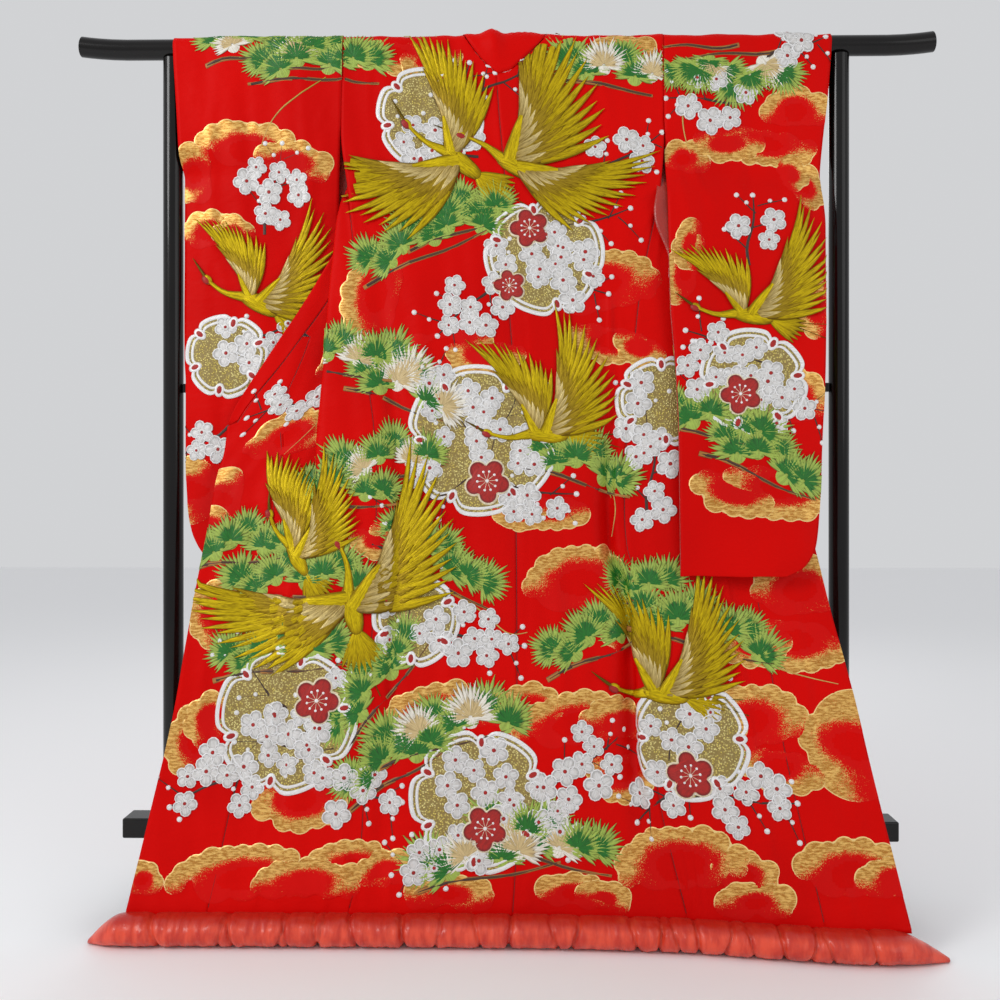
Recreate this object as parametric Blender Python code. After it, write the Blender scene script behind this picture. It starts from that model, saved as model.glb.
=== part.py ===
"""Uchikake wedding kimono, back view, hung by a bar through its sleeves on a lacquered display stand.

Each cloth piece is a grid of points on the cloth's middle layer, thickened to a wall.
X runs to the right of the viewer, Z up, and the viewer stands on the -Y side. Metres.
"""

import math

import bmesh
import bpy
import numpy as np

for old in list(bpy.data.objects):
    bpy.data.objects.remove(old)

# Stand
BAR_Z = 1.727
BAR_R = 0.020
POST_R = 0.020
POST_X = (-0.676, 0.674)
RAIL_X = (-0.770, 0.785)
RAIL_Z = (0.129, 0.169)
RAIL_HALF_Y = 0.030
MID_RAIL_Z = (1.028, 1.046)
MID_RAIL_HALF_Y = 0.0075
FOOT_HALF_X = 0.030
FOOT_HALF_Y = 0.170
JOINT_GAP = 0.0004

# Cloth
WALL = 0.0020
OVER_BAR = BAR_R + 0.0013
ARC = OVER_BAR * math.pi / 2
HEM_Z = 0.0520
SEAM = 0.0007
SIDE_GAP = 0.0007
NECK_LIFT = 0.0014
COLLAR_LIFT = 0.0032
ROLL_HALF_Y = 0.0375
ROLL_HALF_Z = 0.0275
ROLL_Z = 0.0260
ROLL_X = (-0.760, 0.785)

# Moves the middle of the whole object's box onto the Z axis
SHIFT_X = 0.0
SHIFT_Y = 0.0673

# Line of the hem's roll on the floor: X, Y
ROLL_LINE = [(-0.80, -0.215), (-0.60, -0.212), (-0.30, -0.210), (0.0, -0.210),
             (0.30, -0.222), (0.50, -0.250), (0.65, -0.268), (0.80, -0.268)]

# The tables below give a size at heights above the floor, highest first
CENTRE_X = [(1.727, -0.0165), (1.662, -0.0157), (1.492, -0.0034), (1.398, 0.0046),
            (1.238, 0.0068), (1.070, 0.0168), (0.782, 0.0228), (0.440, 0.0248),
            (0.160, 0.0231), (0.052, 0.0170)]
SIDE_X = {
    "left": [(1.727, -0.3265), (1.551, -0.3278), (1.424, -0.3121), (1.322, -0.3006),
             (1.160, -0.2843), (1.073, -0.2731), (0.970, -0.2558), (0.861, -0.2463),
             (0.667, -0.2471), (0.532, -0.2524), (0.349, -0.2586), (0.124, -0.2672),
             (0.052, -0.2860)],
    "right": [(1.727, 0.3175), (1.547, 0.3172), (1.437, 0.3099), (1.333, 0.2889),
              (1.275, 0.2764), (1.171, 0.2595), (1.083, 0.2507), (0.946, 0.2375),
              (0.800, 0.2310), (0.716, 0.2335), (0.655, 0.2540), (0.562, 0.2720),
              (0.373, 0.2766), (0.258, 0.2875), (0.134, 0.3142), (0.052, 0.3350)],
}
TUCK_OUT_X = {
    "left": [(1.727, -0.2965), (1.500, -0.3040), (1.450, -0.3150), (1.405, -0.3290), (1.370, -0.3370),
             (1.285, -0.3450), (1.145, -0.3550), (0.986, -0.3630), (0.908, -0.3660),
             (0.800, -0.3720), (0.600, -0.3820), (0.052, -0.4250)],
    "right": [(1.727, 0.2875), (1.500, 0.2880), (1.450, 0.3040), (1.405, 0.3220), (1.370, 0.3320),
              (1.300, 0.3480), (1.150, 0.3750), (0.950, 0.3850), (0.800, 0.3900),
              (0.600, 0.3990), (0.052, 0.4600)],
}
TUCK_IN_X = {
    "left": [(1.727, -0.0550), (1.690, -0.0560), (1.650, -0.0650), (1.500, -0.1150),
             (1.400, -0.1600), (1.320, -0.2000), (1.150, -0.2550), (1.050, -0.2850),
             (0.950, -0.3200), (0.870, -0.3600), (0.800, -0.3850), (0.700, -0.4080),
             (0.052, -0.4800)],
    "right": [(1.727, 0.0550), (1.690, 0.0560), (1.650, 0.0650), (1.500, 0.1150),
              (1.400, 0.1600), (1.320, 0.2050), (1.150, 0.2650), (1.050, 0.3000),
              (0.950, 0.3400), (0.870, 0.3800), (0.800, 0.4030), (0.700, 0.4200),
              (0.052, 0.5100)],
}
EDGE_X = {
    "left": [(1.727, -0.0300), (1.700, -0.0430), (1.650, -0.1000), (1.500, -0.2170),
             (1.400, -0.2850), (1.306, -0.3420), (1.213, -0.3970), (1.153, -0.4360),
             (1.077, -0.4860), (1.030, -0.5170), (0.980, -0.5440), (0.953, -0.5520),
             (0.908, -0.5560), (0.865, -0.5660), (0.757, -0.5780), (0.625, -0.5985),
             (0.544, -0.6100), (0.425, -0.6250), (0.197, -0.6690), (0.052, -0.6970)],
    "right": [(1.727, 0.0300), (1.700, 0.0430), (1.650, 0.1000), (1.500, 0.2150),
              (1.400, 0.2830), (1.300, 0.3400), (1.150, 0.4320), (1.030, 0.5080),
              (0.953, 0.5420), (0.865, 0.5640), (0.726, 0.5900), (0.625, 0.6093),
              (0.443, 0.6491), (0.292, 0.6770), (0.168, 0.7018), (0.052, 0.7240)],
}
LAYER_STEP = [(1.727, 0.0), (1.700, 0.0015), (1.650, 0.0050), (1.500, 0.0062),
              (1.330, 0.0062), (1.150, 0.0080), (1.000, 0.0100), (0.900, 0.0100),
              (0.800, 0.0060), (0.600, 0.0040), (0.150, 0.0020), (0.052, 0.0)]
BEHIND_BAR = [(1.727, 0.0426), (1.700, 0.0430), (1.650, 0.0360), (1.600, 0.0270),
              (1.540, 0.0150), (1.480, 0.0055), (1.420, 0.0)]
JOINED = [(1.425, 0.0), (1.365, 1.0)]
COLLAR_WIDE = [(1.727, 0.0580), (1.600, 0.0560), (1.300, 0.0500), (1.100, 0.0400),
               (0.958, 0.0160)]
OKUMI_WIDE = [(1.140, 0.0140), (0.958, 0.0960), (0.945, 0.1130), (0.620, 0.1300),
              (0.350, 0.1480), (0.052, 0.1510)]
BACK_TROUGH = {
    "left": [(1.250, 0.0), (1.000, 0.0120), (0.600, 0.0150), (0.250, 0.0100),
             (0.052, 0.0)],
    "right": [(1.100, 0.0), (0.900, 0.0180), (0.700, 0.0300), (0.400, 0.0300),
              (0.200, 0.0150), (0.052, 0.0)],
}
NECK_DROP = [(-0.0880, 0.0), (-0.0830, 0.0120), (-0.0770, 0.0260), (-0.0600, 0.0500),
             (-0.0370, 0.0780), (-0.0165, 0.0960), (0.0100, 0.0900), (0.0380, 0.0640),
             (0.0600, 0.0440), (0.0770, 0.0260), (0.0830, 0.0120), (0.0880, 0.0)]
NECK_POINT = 0.0880
COLLAR_END_Z = 0.958
OKUMI_TOP_Z = 1.140
OPEN_FROM_Z = 1.565

# Sleeves
SLEEVE_END_Z = {"left": 0.660, "right": 0.668}
SLEEVE_IN_X = {
    "left": [(1.565, -0.3285), (1.500, -0.3310), (1.435, -0.3340), (1.300, -0.3360),
             (1.000, -0.3410), (0.660, -0.3520)],
    "right": [(1.565, 0.3180), (1.490, 0.3190), (1.330, 0.3205), (1.180, 0.3230),
              (1.060, 0.3310), (0.945, 0.3345), (0.668, 0.3330)],
}
SLEEVE_OUT_X = {
    "left": [(1.727, -0.6700), (1.600, -0.6620), (1.500, -0.6560), (1.460, -0.6505),
             (1.216, -0.6505), (1.090, -0.6470), (1.050, -0.6440), (0.890, -0.6430),
             (0.800, -0.6390), (0.749, -0.6310), (0.715, -0.6160), (0.690, -0.5950),
             (0.670, -0.5650), (0.660, -0.5300)],
    "right": [(1.727, 0.6536), (1.618, 0.6454), (1.574, 0.6403), (1.496, 0.6321),
              (1.385, 0.6275), (1.069, 0.6158), (0.909, 0.6029), (0.811, 0.5951),
              (0.727, 0.5843), (0.700, 0.5720), (0.682, 0.5560), (0.668, 0.5280)],
}
SLEEVE_FRONT_IN_Y = [(1.727, -0.0213), (1.565, -0.0317), (1.500, -0.0270), (1.430, -0.0190),
                     (1.360, -0.0135), (1.200, -0.0160), (1.035, -0.0270), (0.800, -0.0320),
                     (0.660, -0.0330)]
SLEEVE_REAR_IN_Y = [(1.727, 0.0213), (1.650, 0.0120), (1.565, -0.0030), (1.430, -0.0020),
                    (1.360, 0.0000), (1.200, -0.0030), (1.035, -0.0140), (0.800, -0.0180),
                    (0.660, -0.0210)]
SLEEVE_SHUT_Y = {
    "left": [(1.460, -0.0020), (1.200, -0.0100), (1.035, -0.0220), (0.660, -0.0270)],
    "right": [(1.460, -0.0180), (1.360, -0.0420), (1.300, -0.0600)],
}
CUFF_Y = [(1.727, 0.0213), (1.690, 0.0230)]
CUFF_SHUT = [(1.520, 0.0), (1.460, 1.0)]
SLEEVE_PUSHED = [(1.520, 0.0), (1.400, 1.0)]
SHUT_HALF = 0.0014


def table(at, rows):
    """Reads a size from a table with a smooth curve that never overshoots it."""
    rows = sorted(rows)
    x = np.array([row[0] for row in rows])
    y = np.array([row[1] for row in rows])
    if len(rows) == 2:
        k = min(max((at - x[0]) / (x[1] - x[0]), 0.0), 1.0)
        return y[0] + (y[1] - y[0]) * k * k * (3 - 2 * k)
    at = min(max(at, x[0]), x[-1])
    i = int(min(np.searchsorted(x, at, side="right") - 1, len(x) - 2))
    step = np.diff(x)
    rise = np.diff(y) / step
    lean = np.zeros(len(x))
    for j in range(1, len(x) - 1):
        if rise[j - 1] * rise[j] > 0:
            a = 2 * step[j] + step[j - 1]
            b = step[j] + 2 * step[j - 1]
            lean[j] = (a + b) / (a / rise[j - 1] + b / rise[j])
    lean[0] = rise[0]
    lean[-1] = rise[-1]
    k = (at - x[i]) / step[i]
    return ((1 + 2 * k) * (1 - k) ** 2 * y[i] + k * (1 - k) ** 2 * step[i] * lean[i]
            + k * k * (3 - 2 * k) * y[i + 1] + k * k * (k - 1) * step[i] * lean[i + 1])


def straight(at, rows):
    """Reads a size from a table, straight from row to row."""
    rows = sorted(rows)
    return float(np.interp(at, [row[0] for row in rows], [row[1] for row in rows]))


def blend(a, b, k):
    return a + (b - a) * k


def hang_y(x, z):
    """Y of the plain hanging sheet, from the bar's near side to the roll on the floor."""
    reach = -table(x, ROLL_LINE) - 0.012 - OVER_BAR
    drop = max(0.0, (BAR_Z - z) / (BAR_Z - HEM_Z))
    return -OVER_BAR - reach * drop ** 1.25


def spline(points, count):
    """Cubic B-spline through the first and last of the points, sampled evenly in its parameter."""
    p = np.array(points, float)
    p = np.vstack([2 * p[0] - p[1], p, 2 * p[-1] - p[-2]])
    spans = len(p) - 3
    u = np.linspace(0, spans, count)
    i = np.minimum(u.astype(int), spans - 1)
    k = (u - i)[:, None]
    return ((1 - k) ** 3 * p[i] + (3 * k ** 3 - 6 * k ** 2 + 4) * p[i + 1]
            + (-3 * k ** 3 + 3 * k ** 2 + 3 * k + 1) * p[i + 2] + k ** 3 * p[i + 3]) / 6


def front_section(side, z):
    """The front half's level section, from the side seam out, back in behind, and out to its edge."""
    seam = table(z, SIDE_X[side])
    out = table(z, TUCK_OUT_X[side])
    inner = table(z, TUCK_IN_X[side])
    edge = table(z, EDGE_X[side])
    step = table(z, LAYER_STEP)
    behind = table(z, BEHIND_BAR)
    joined = table(z, JOINED)
    near = blend(2 * step + behind, 0.0, joined)
    middle = 2 * step + behind
    far = 4 * step + behind
    plan = [(seam, near), (blend(seam, out, 0.5), near), (out, near), (out, middle),
            (blend(out, inner, 0.5), middle), (inner, middle), (inner, far),
            (blend(inner, edge, 0.33), far), (blend(inner, edge, 0.67), far), (edge, far)]
    return spline([(x, hang_y(x, z) + away) for x, away in plan], 361)


def along(curve):
    steps = np.hypot(*np.diff(curve, axis=0).T)
    return np.concatenate([[0.0], np.cumsum(steps)])


def at_length(curve, want):
    length = along(curve)
    return np.array([np.interp(want, length, curve[:, 0]), np.interp(want, length, curve[:, 1])])


def front_parts(side, z):
    """The section and the lengths along it where the front panel, the overlap and the collar end."""
    curve = front_section(side, z)
    whole = along(curve)[-1]
    collar = table(z, COLLAR_WIDE) if z >= COLLAR_END_Z - 1e-6 else 0.0
    overlap = table(z, OKUMI_WIDE) if z <= OKUMI_TOP_Z + 1e-6 else 0.0
    return curve, whole - collar - overlap, whole - collar, whole


def section_row(curve, start, stop, count):
    """Points between two lengths along a section, spaced evenly in its parameter so that folds get more."""
    length = along(curve)
    places = np.linspace(0, 1, len(curve))
    a = np.interp(start, length, places)
    b = np.interp(stop, length, places)
    want = np.interp(np.linspace(a, b, count), places, length)
    return [at_length(curve, w) for w in want]


def back_section(side, z):
    """The back half's level section, from the centre seam to the side seam."""
    centre = table(z, CENTRE_X)
    seam = table(z, SIDE_X[side])
    trough = table(z, BACK_TROUGH[side])
    wave = 0.004 * math.sin(math.pi * min(max((1.6 - z) / 1.5, 0.0), 1.0))
    plan = [(0.0, 0.0), (0.18, -wave), (0.38, wave), (0.58, -0.5 * wave), (0.74, 0.0),
            (0.80, 0.5 * trough), (0.84, trough), (0.89, 0.8 * trough), (0.93, 0.0), (1.0, 0.0)]
    points = []
    for part, away in plan:
        x = blend(centre, seam, part)
        points.append((x, hang_y(x, z) + away))
    return spline(points, 241)


def over_front(x, drop, lift=0.0):
    """A point on the near side, this far down the cloth from the shoulder line."""
    if drop < ARC:
        turn = drop / OVER_BAR
        r = OVER_BAR + lift
        return (x, -r * math.sin(turn), BAR_Z + r * math.cos(turn))
    z = BAR_Z - (drop - ARC)
    return (x, hang_y(x, z) - lift * max(0.0, 1 - (drop - ARC) / 0.12), z)


def over_rear(x, drop, lift=0.0):
    """A point on the far side, this far down the cloth from the shoulder line."""
    r = OVER_BAR + lift
    if drop < ARC:
        turn = drop / OVER_BAR
        return (x, r * math.sin(turn), BAR_Z + r * math.cos(turn))
    return (x, r, BAR_Z - (drop - ARC))


def cloth(name, rows, material, wall=WALL):
    """Thickens a grid of middle-layer points into one closed wall."""
    grid = np.array(rows, float)
    count, across, _ = grid.shape
    normals = np.zeros_like(grid)
    for r in range(count - 1):
        for c in range(across - 1):
            a, b = grid[r, c], grid[r, c + 1]
            d, e = grid[r + 1, c], grid[r + 1, c + 1]
            face = np.cross(e - a, d - b)
            size = np.linalg.norm(face)
            if size > 1e-12:
                for i, j in ((r, c), (r, c + 1), (r + 1, c), (r + 1, c + 1)):
                    normals[i, j] += face / size
    normals /= np.maximum(np.linalg.norm(normals, axis=2, keepdims=True), 1e-9)
    mesh = bmesh.new()
    sides = []
    for half in (wall / 2, -wall / 2):
        layer = grid + normals * half
        sides.append([[mesh.verts.new(point) for point in row] for row in layer])
    near, far = sides
    for r in range(count - 1):
        for c in range(across - 1):
            mesh.faces.new((near[r][c], near[r + 1][c], near[r + 1][c + 1], near[r][c + 1]))
            mesh.faces.new((far[r][c], far[r][c + 1], far[r + 1][c + 1], far[r + 1][c]))
    for r in range(count - 1):
        mesh.faces.new((near[r][0], far[r][0], far[r + 1][0], near[r + 1][0]))
        mesh.faces.new((near[r][-1], near[r + 1][-1], far[r + 1][-1], far[r][-1]))
    for c in range(across - 1):
        mesh.faces.new((near[0][c], near[0][c + 1], far[0][c + 1], far[0][c]))
        mesh.faces.new((near[-1][c], far[-1][c], far[-1][c + 1], near[-1][c + 1]))
    return finish(name, mesh, material)


def finish(name, mesh, material):
    bmesh.ops.recalc_face_normals(mesh, faces=mesh.faces)
    if mesh.calc_volume(signed=True) < 0:
        bmesh.ops.reverse_faces(mesh, faces=mesh.faces)
    bmesh.ops.translate(mesh, vec=(SHIFT_X, SHIFT_Y, 0.0), verts=mesh.verts)
    data = bpy.data.meshes.new(name)
    mesh.to_mesh(data)
    mesh.free()
    obj = bpy.data.objects.new(name, data)
    bpy.context.scene.collection.objects.link(obj)
    data.materials.append(material)
    return obj


def rings(name, loops, material):
    """A closed solid through rings of equal count, with flat ends."""
    mesh = bmesh.new()
    made = [[mesh.verts.new(point) for point in loop] for loop in loops]
    count = len(made[0])
    for a, b in zip(made, made[1:]):
        for i in range(count):
            j = (i + 1) % count
            mesh.faces.new((a[i], a[j], b[j], b[i]))
    mesh.faces.new(made[0][::-1])
    mesh.faces.new(made[-1])
    return finish(name, mesh, material)


def paint(name, color, roughness):
    material = bpy.data.materials.new(name)
    material.use_nodes = True
    shader = material.node_tree.nodes["Principled BSDF"]
    shader.inputs["Base Color"].default_value = (*color, 1.0)
    shader.inputs["Roughness"].default_value = roughness
    return material


RED_SILK = paint("red_silk", (0.60, 0.005, 0.008), 0.5)
CORAL_SATIN = paint("coral_satin", (0.75, 0.10, 0.06), 0.35)
LACQUER = paint("black_lacquer", (0.01, 0.01, 0.012), 0.15)

BODY_Z = (1.727, 1.700, 1.672, 1.645, 1.606, 1.565, 1.510, 1.460, 1.415, 1.370, 1.320,
          1.240, 1.140, 1.050, 0.958, 0.880, 0.800, 0.720, 0.640, 0.540, 0.440, 0.340,
          0.240, 0.140, 0.052)
BACK_COLUMNS = (0.31, 0.42, 0.54, 0.66, 0.75, 0.83, 0.89, 0.95, 1.0)


def back_columns(side):
    """Shares of the back's width where its columns run: at each point of the neck's edge, then on."""
    centre = table(BAR_Z, CENTRE_X)
    seam = table(BAR_Z, SIDE_X[side])
    neck = [(x - centre) / (seam - centre) for x, _ in NECK_DROP]
    return sorted(share for share in neck if share > -1e-6) + list(BACK_COLUMNS)


def back_panel(side):
    """From the shoulder line, or the neck's edge, down the near side of the bar to the hem."""
    sign = -1 if side == "left" else 1
    low = ARC + BAR_Z - 1.600
    columns = back_columns(side)
    top = back_section(side, BAR_Z)
    rows = []
    turns = [ARC * i / 6 for i in range(7)]
    for reach in turns + [0.060, 0.095]:
        share = reach / low
        row = []
        for part in columns:
            x = blend(top[0][0], top[-1][0], part)
            start = straight(x, NECK_DROP) + SEAM if abs(x) < NECK_POINT else SEAM
            x += sign * SEAM / 2 if part < 1e-6 else 0.0
            x -= sign * SEAM / 2 if part == 1.0 else 0.0
            lift = NECK_LIFT if abs(x) < NECK_POINT + 0.001 else 0.0
            row.append(over_front(x, blend(start, low, share), lift))
        rows.append(row)
    for z in BODY_Z:
        if z > 1.59:
            continue
        curve = back_section(side, z)
        whole = along(curve)[-1]
        row = []
        for part in columns:
            x, y = at_length(curve, min(max(part * whole, SEAM / 2), whole - SIDE_GAP / 2))
            row.append((x, y, z))
        rows.append(row)
    return cloth("back_" + side, rows, RED_SILK)


def front_panel(side):
    """From the shoulder line down the far side of the bar, then out past the side seam to the hem."""
    count = 17
    top, stop, _, _ = front_parts(side, BAR_Z)
    rows = []
    for share in [i / 6 for i in range(6)]:
        row = []
        for x, _ in section_row(top, SEAM / 2, stop - SEAM / 2, count):
            row.append(over_rear(x, blend(SEAM, ARC, share)))
        rows.append(row)
    for z in BODY_Z:
        curve, stop, _, _ = front_parts(side, z)
        points = section_row(curve, SIDE_GAP / 2, stop - SEAM, count)
        rows.append([(x, y, z) for x, y in points])
    return cloth("front_" + side, rows, RED_SILK)


def overlap_panel(side):
    rows = []
    for z in BODY_Z:
        if z > OKUMI_TOP_Z + 1e-6:
            continue
        curve, start, stop, _ = front_parts(side, z)
        if z >= COLLAR_END_Z - 1e-6:
            stop -= SEAM / 2
        points = section_row(curve, start + SEAM / 2, stop, 5)
        rows.append([(x, y, z) for x, y in points])
    return cloth("okumi_" + side, rows, RED_SILK)


def collar_side(side):
    """Rows of the collar band from its lower end up to the bar's far side."""
    rows = []
    for z in reversed(BODY_Z):
        if z < COLLAR_END_Z - 1e-6:
            continue
        curve, _, start, stop = front_parts(side, z)
        points = section_row(curve, start + 2 * SEAM, stop, 9)
        rows.append([(x, y, z) for x, y in points])
    return rows


def collar():
    """One band up the left front edge, over the bar round the neck, and down the right front edge."""
    over = [(-NECK_POINT, 0.026), (-NECK_POINT, 0.013)]
    seam = over + [(x, -drop) for x, drop in NECK_DROP] + [(-x, w) for x, w in over[::-1]]
    last = len(seam) - 1
    free = [(-0.030 + 0.060 * i / last, 0.037 + 0.008 * math.sin(math.pi * i / last))
            for i in range(last + 1)]
    rows = collar_side("left")
    for (sx, sw), (fx, fw) in zip(seam, free):
        lift = 0.0025 + 0.0065 * math.exp(-((sx + 0.035) / 0.030) ** 2)
        row = []
        for share in np.linspace(0, 1, 9):
            x = blend(sx, fx, share)
            w = blend(sw, fw, share)
            w += 1.5 * SEAM if share == 0.0 and w < 0 else 0.0
            x -= math.copysign(SEAM, x) if share == 0.0 and w > -0.013 else 0.0
            up = lift * math.sin(math.pi * share)
            if w >= 0:
                x, y, z = over_rear(x, w, COLLAR_LIFT)
            else:
                x, y, z = over_front(x, -w, COLLAR_LIFT)
            reach = max(math.hypot(y, z - BAR_Z), 1e-6)
            row.append((x, y + up * y / reach, z + up * (z - BAR_Z) / reach))
        rows.append(row)
    rows += collar_side("right")[::-1]
    return cloth("collar", rows, RED_SILK)


SLEEVE_Z = (0.0, 0.010, 0.028, 0.055, 0.095, 0.170, 0.260, 0.350, 0.450, 0.550, 0.640,
            0.700, 0.745, 0.785)
SLEEVE_UPPER_Z = (1.490, 1.520, 1.565, 1.610, 1.655, 1.700, 1.727)


def sleeve_row(side, z, rear):
    """One level row of a sleeve's near or far layer, from its inner to its outer edge."""
    end = SLEEVE_END_Z[side]
    seam = table(z, SIDE_X[side])
    sign = -1 if side == "left" else 1
    inner = seam + sign * SIDE_GAP / 2 if z >= OPEN_FROM_Z - 1e-6 else table(z, SLEEVE_IN_X[side])
    outer = table(z, SLEEVE_OUT_X[side])
    shut = table(z, CUFF_SHUT)
    turn = 1 if rear else -1
    bottom = min(max((z - end) / 0.035, 0.0), 1.0) ** 0.5
    row = []
    for share in (0.0, 0.12, 0.26, 0.42, 0.58, 0.74, 0.88, 1.0):
        x = blend(inner, outer, share)
        inner_y = table(z, SLEEVE_REAR_IN_Y if rear else SLEEVE_FRONT_IN_Y)
        if z >= OPEN_FROM_Z - 1e-6:
            attach = hang_y(x, z)
            if rear:
                attach += 2 * table(z, LAYER_STEP) + table(z, BEHIND_BAR)
            inner_y = attach
        if side == "right":
            pushed = table(z, SLEEVE_PUSHED)
            laid = hang_y(x, z) - (0.011 if rear else 0.021)
            inner_y = blend(inner_y, laid, pushed)
            seat = blend(table(z, SLEEVE_SHUT_Y[side]), hang_y(x, z) - 0.015,
                         table(z, [(1.460, 0.0), (1.340, 1.0)]))
        else:
            seat = table(z, SLEEVE_SHUT_Y[side])
        outer_y = blend(turn * table(z, CUFF_Y), seat + turn * SHUT_HALF, shut)
        wave = 0.004 * shut * math.sin(2.2 * math.pi * share) * share
        puff = turn * 0.0035 * shut * math.sin(math.pi * share)
        y = blend(inner_y, outer_y, share) + wave + puff
        flat = seat + turn * SHUT_HALF + wave
        y = blend(flat, y, bottom)
        row.append((x, y, z))
    return row


def sleeve(side):
    """A strip from its rear bottom edge over the bar to its front bottom edge, shut on the outside."""
    end = SLEEVE_END_Z[side]
    heights = [end + up for up in SLEEVE_Z] + list(SLEEVE_UPPER_Z)
    rear = [sleeve_row(side, z, True) for z in heights]
    front = [sleeve_row(side, z, False) for z in heights]
    crown = []
    ends = sleeve_row(side, BAR_Z, True)
    for turn in range(75, -90, -15):
        crown.append([(x, y * math.sin(math.radians(turn)), BAR_Z + y * math.cos(math.radians(turn)))
                      for x, y, _ in ends])
    return cloth("sleeve_" + side, rear + crown + front[::-1], RED_SILK)


def hem_roll():
    """The padded roll along the hem, flat where it lies on the floor, with tapered tips."""
    loops = []
    left, right = ROLL_X
    places = [left, left + 0.008, left + 0.022, left + 0.045, left + 0.075]
    places += list(np.linspace(left + 0.115, right - 0.150, 27))
    places += [right - 0.105, right - 0.070, right - 0.040, right - 0.018, right - 0.006, right]
    for x in places:
        ends = min(1.0, 0.14 + 0.86 * math.sin(min((x - left) / 0.066, 1.0) * math.pi / 2),
                   0.14 + 0.86 * math.sin(min((right - x) / 0.110, 1.0) * math.pi / 2))
        y0 = table(x, ROLL_LINE)
        loop = []
        for i in range(14):
            turn = 2 * math.pi * (i + 0.5) / 14
            y = ROLL_HALF_Y * ends * math.cos(turn)
            z = (ROLL_Z + ROLL_HALF_Z * math.sin(turn)) * ends
            loop.append((x, y0 + y, max(z, 0.0)))
        loops.append(loop)
    return rings("fuki", loops, CORAL_SATIN)


def box(name, low, high, bevel):
    mesh = bmesh.new()
    bmesh.ops.create_cube(mesh, size=1.0)
    size = [b - a for a, b in zip(low, high)]
    middle = [(a + b) / 2 for a, b in zip(low, high)]
    bmesh.ops.scale(mesh, vec=size, verts=mesh.verts)
    bmesh.ops.translate(mesh, vec=middle, verts=mesh.verts)
    bmesh.ops.bevel(mesh, geom=mesh.edges[:], offset=bevel, segments=2, profile=0.5,
                    affect="EDGES")
    return finish(name, mesh, LACQUER)


def top_bar():
    """Round bar whose ends turn up a little and are cut square to it."""
    loops = []
    for x in (-0.862, -0.845, -0.825, -0.80, -0.77, -0.72, -0.40, 0.0,
              0.40, 0.72, 0.77, 0.80, 0.825, 0.845, 0.862):
        past = max(0.0, abs(x) - 0.76) / 0.102
        rise = 0.007 * past ** 2
        lean = math.copysign(0.014 * past, x)
        loop = []
        for i in range(24):
            turn = 2 * math.pi * i / 24
            up = BAR_R * math.sin(turn)
            loop.append((x - lean * up / BAR_R * 0.5 * past, BAR_R * math.cos(turn),
                         BAR_Z + rise + up))
        loops.append(loop)
    return rings("top_bar", loops, LACQUER)


def post(name, x):
    loops = []
    for z in (RAIL_Z[1] + JOINT_GAP, 0.9, BAR_Z - BAR_R - JOINT_GAP):
        loops.append([(x + POST_R * math.cos(2 * math.pi * i / 20),
                       POST_R * math.sin(2 * math.pi * i / 20), z) for i in range(20)])
    return rings(name, loops, LACQUER)


def foot(name, x):
    """A long foot whose ends curve down, hollowed a little underneath."""
    top = RAIL_Z[0] - JOINT_GAP
    half = [(0.050, top), (0.085, top - 0.004), (0.112, top - 0.016), (0.134, top - 0.036),
            (0.152, top - 0.064), (0.164, top - 0.096), (FOOT_HALF_Y, 0.012),
            (FOOT_HALF_Y, 0.0), (0.100, 0.0), (0.088, 0.012), (0.070, 0.018)]
    outline = half + [(-y, z) for y, z in half[::-1]]
    mesh = bmesh.new()
    verts = [mesh.verts.new((x - FOOT_HALF_X, y, z)) for y, z in outline]
    face = mesh.faces.new(verts)
    made = bmesh.ops.extrude_face_region(mesh, geom=[face])
    moved = [v for v in made["geom"] if isinstance(v, bmesh.types.BMVert)]
    bmesh.ops.translate(mesh, vec=(2 * FOOT_HALF_X, 0, 0), verts=moved)
    rim = [e for e in mesh.edges if abs(e.verts[0].co.x - e.verts[1].co.x) < 1e-6]
    bmesh.ops.bevel(mesh, geom=rim, offset=0.003, segments=2, profile=0.5, affect="EDGES")
    return finish(name, mesh, LACQUER)


for half in ("left", "right"):
    back_panel(half)
    front_panel(half)
    overlap_panel(half)
    sleeve(half)
collar()
hem_roll()
top_bar()
post("post_left", POST_X[0])
post("post_right", POST_X[1])
box("mid_rail", (POST_X[0] + POST_R + JOINT_GAP, -MID_RAIL_HALF_Y, MID_RAIL_Z[0]),
    (POST_X[1] - POST_R - JOINT_GAP, MID_RAIL_HALF_Y, MID_RAIL_Z[1]), 0.002)
box("base_rail", (RAIL_X[0], -RAIL_HALF_Y, RAIL_Z[0]), (RAIL_X[1], RAIL_HALF_Y, RAIL_Z[1]), 0.004)
foot("foot_left", POST_X[0])
foot("foot_right", POST_X[1])
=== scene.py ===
"""Looks of the uchikake on its stand: lined silk, needlework, padded hem and black lacquer."""

import math

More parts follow.
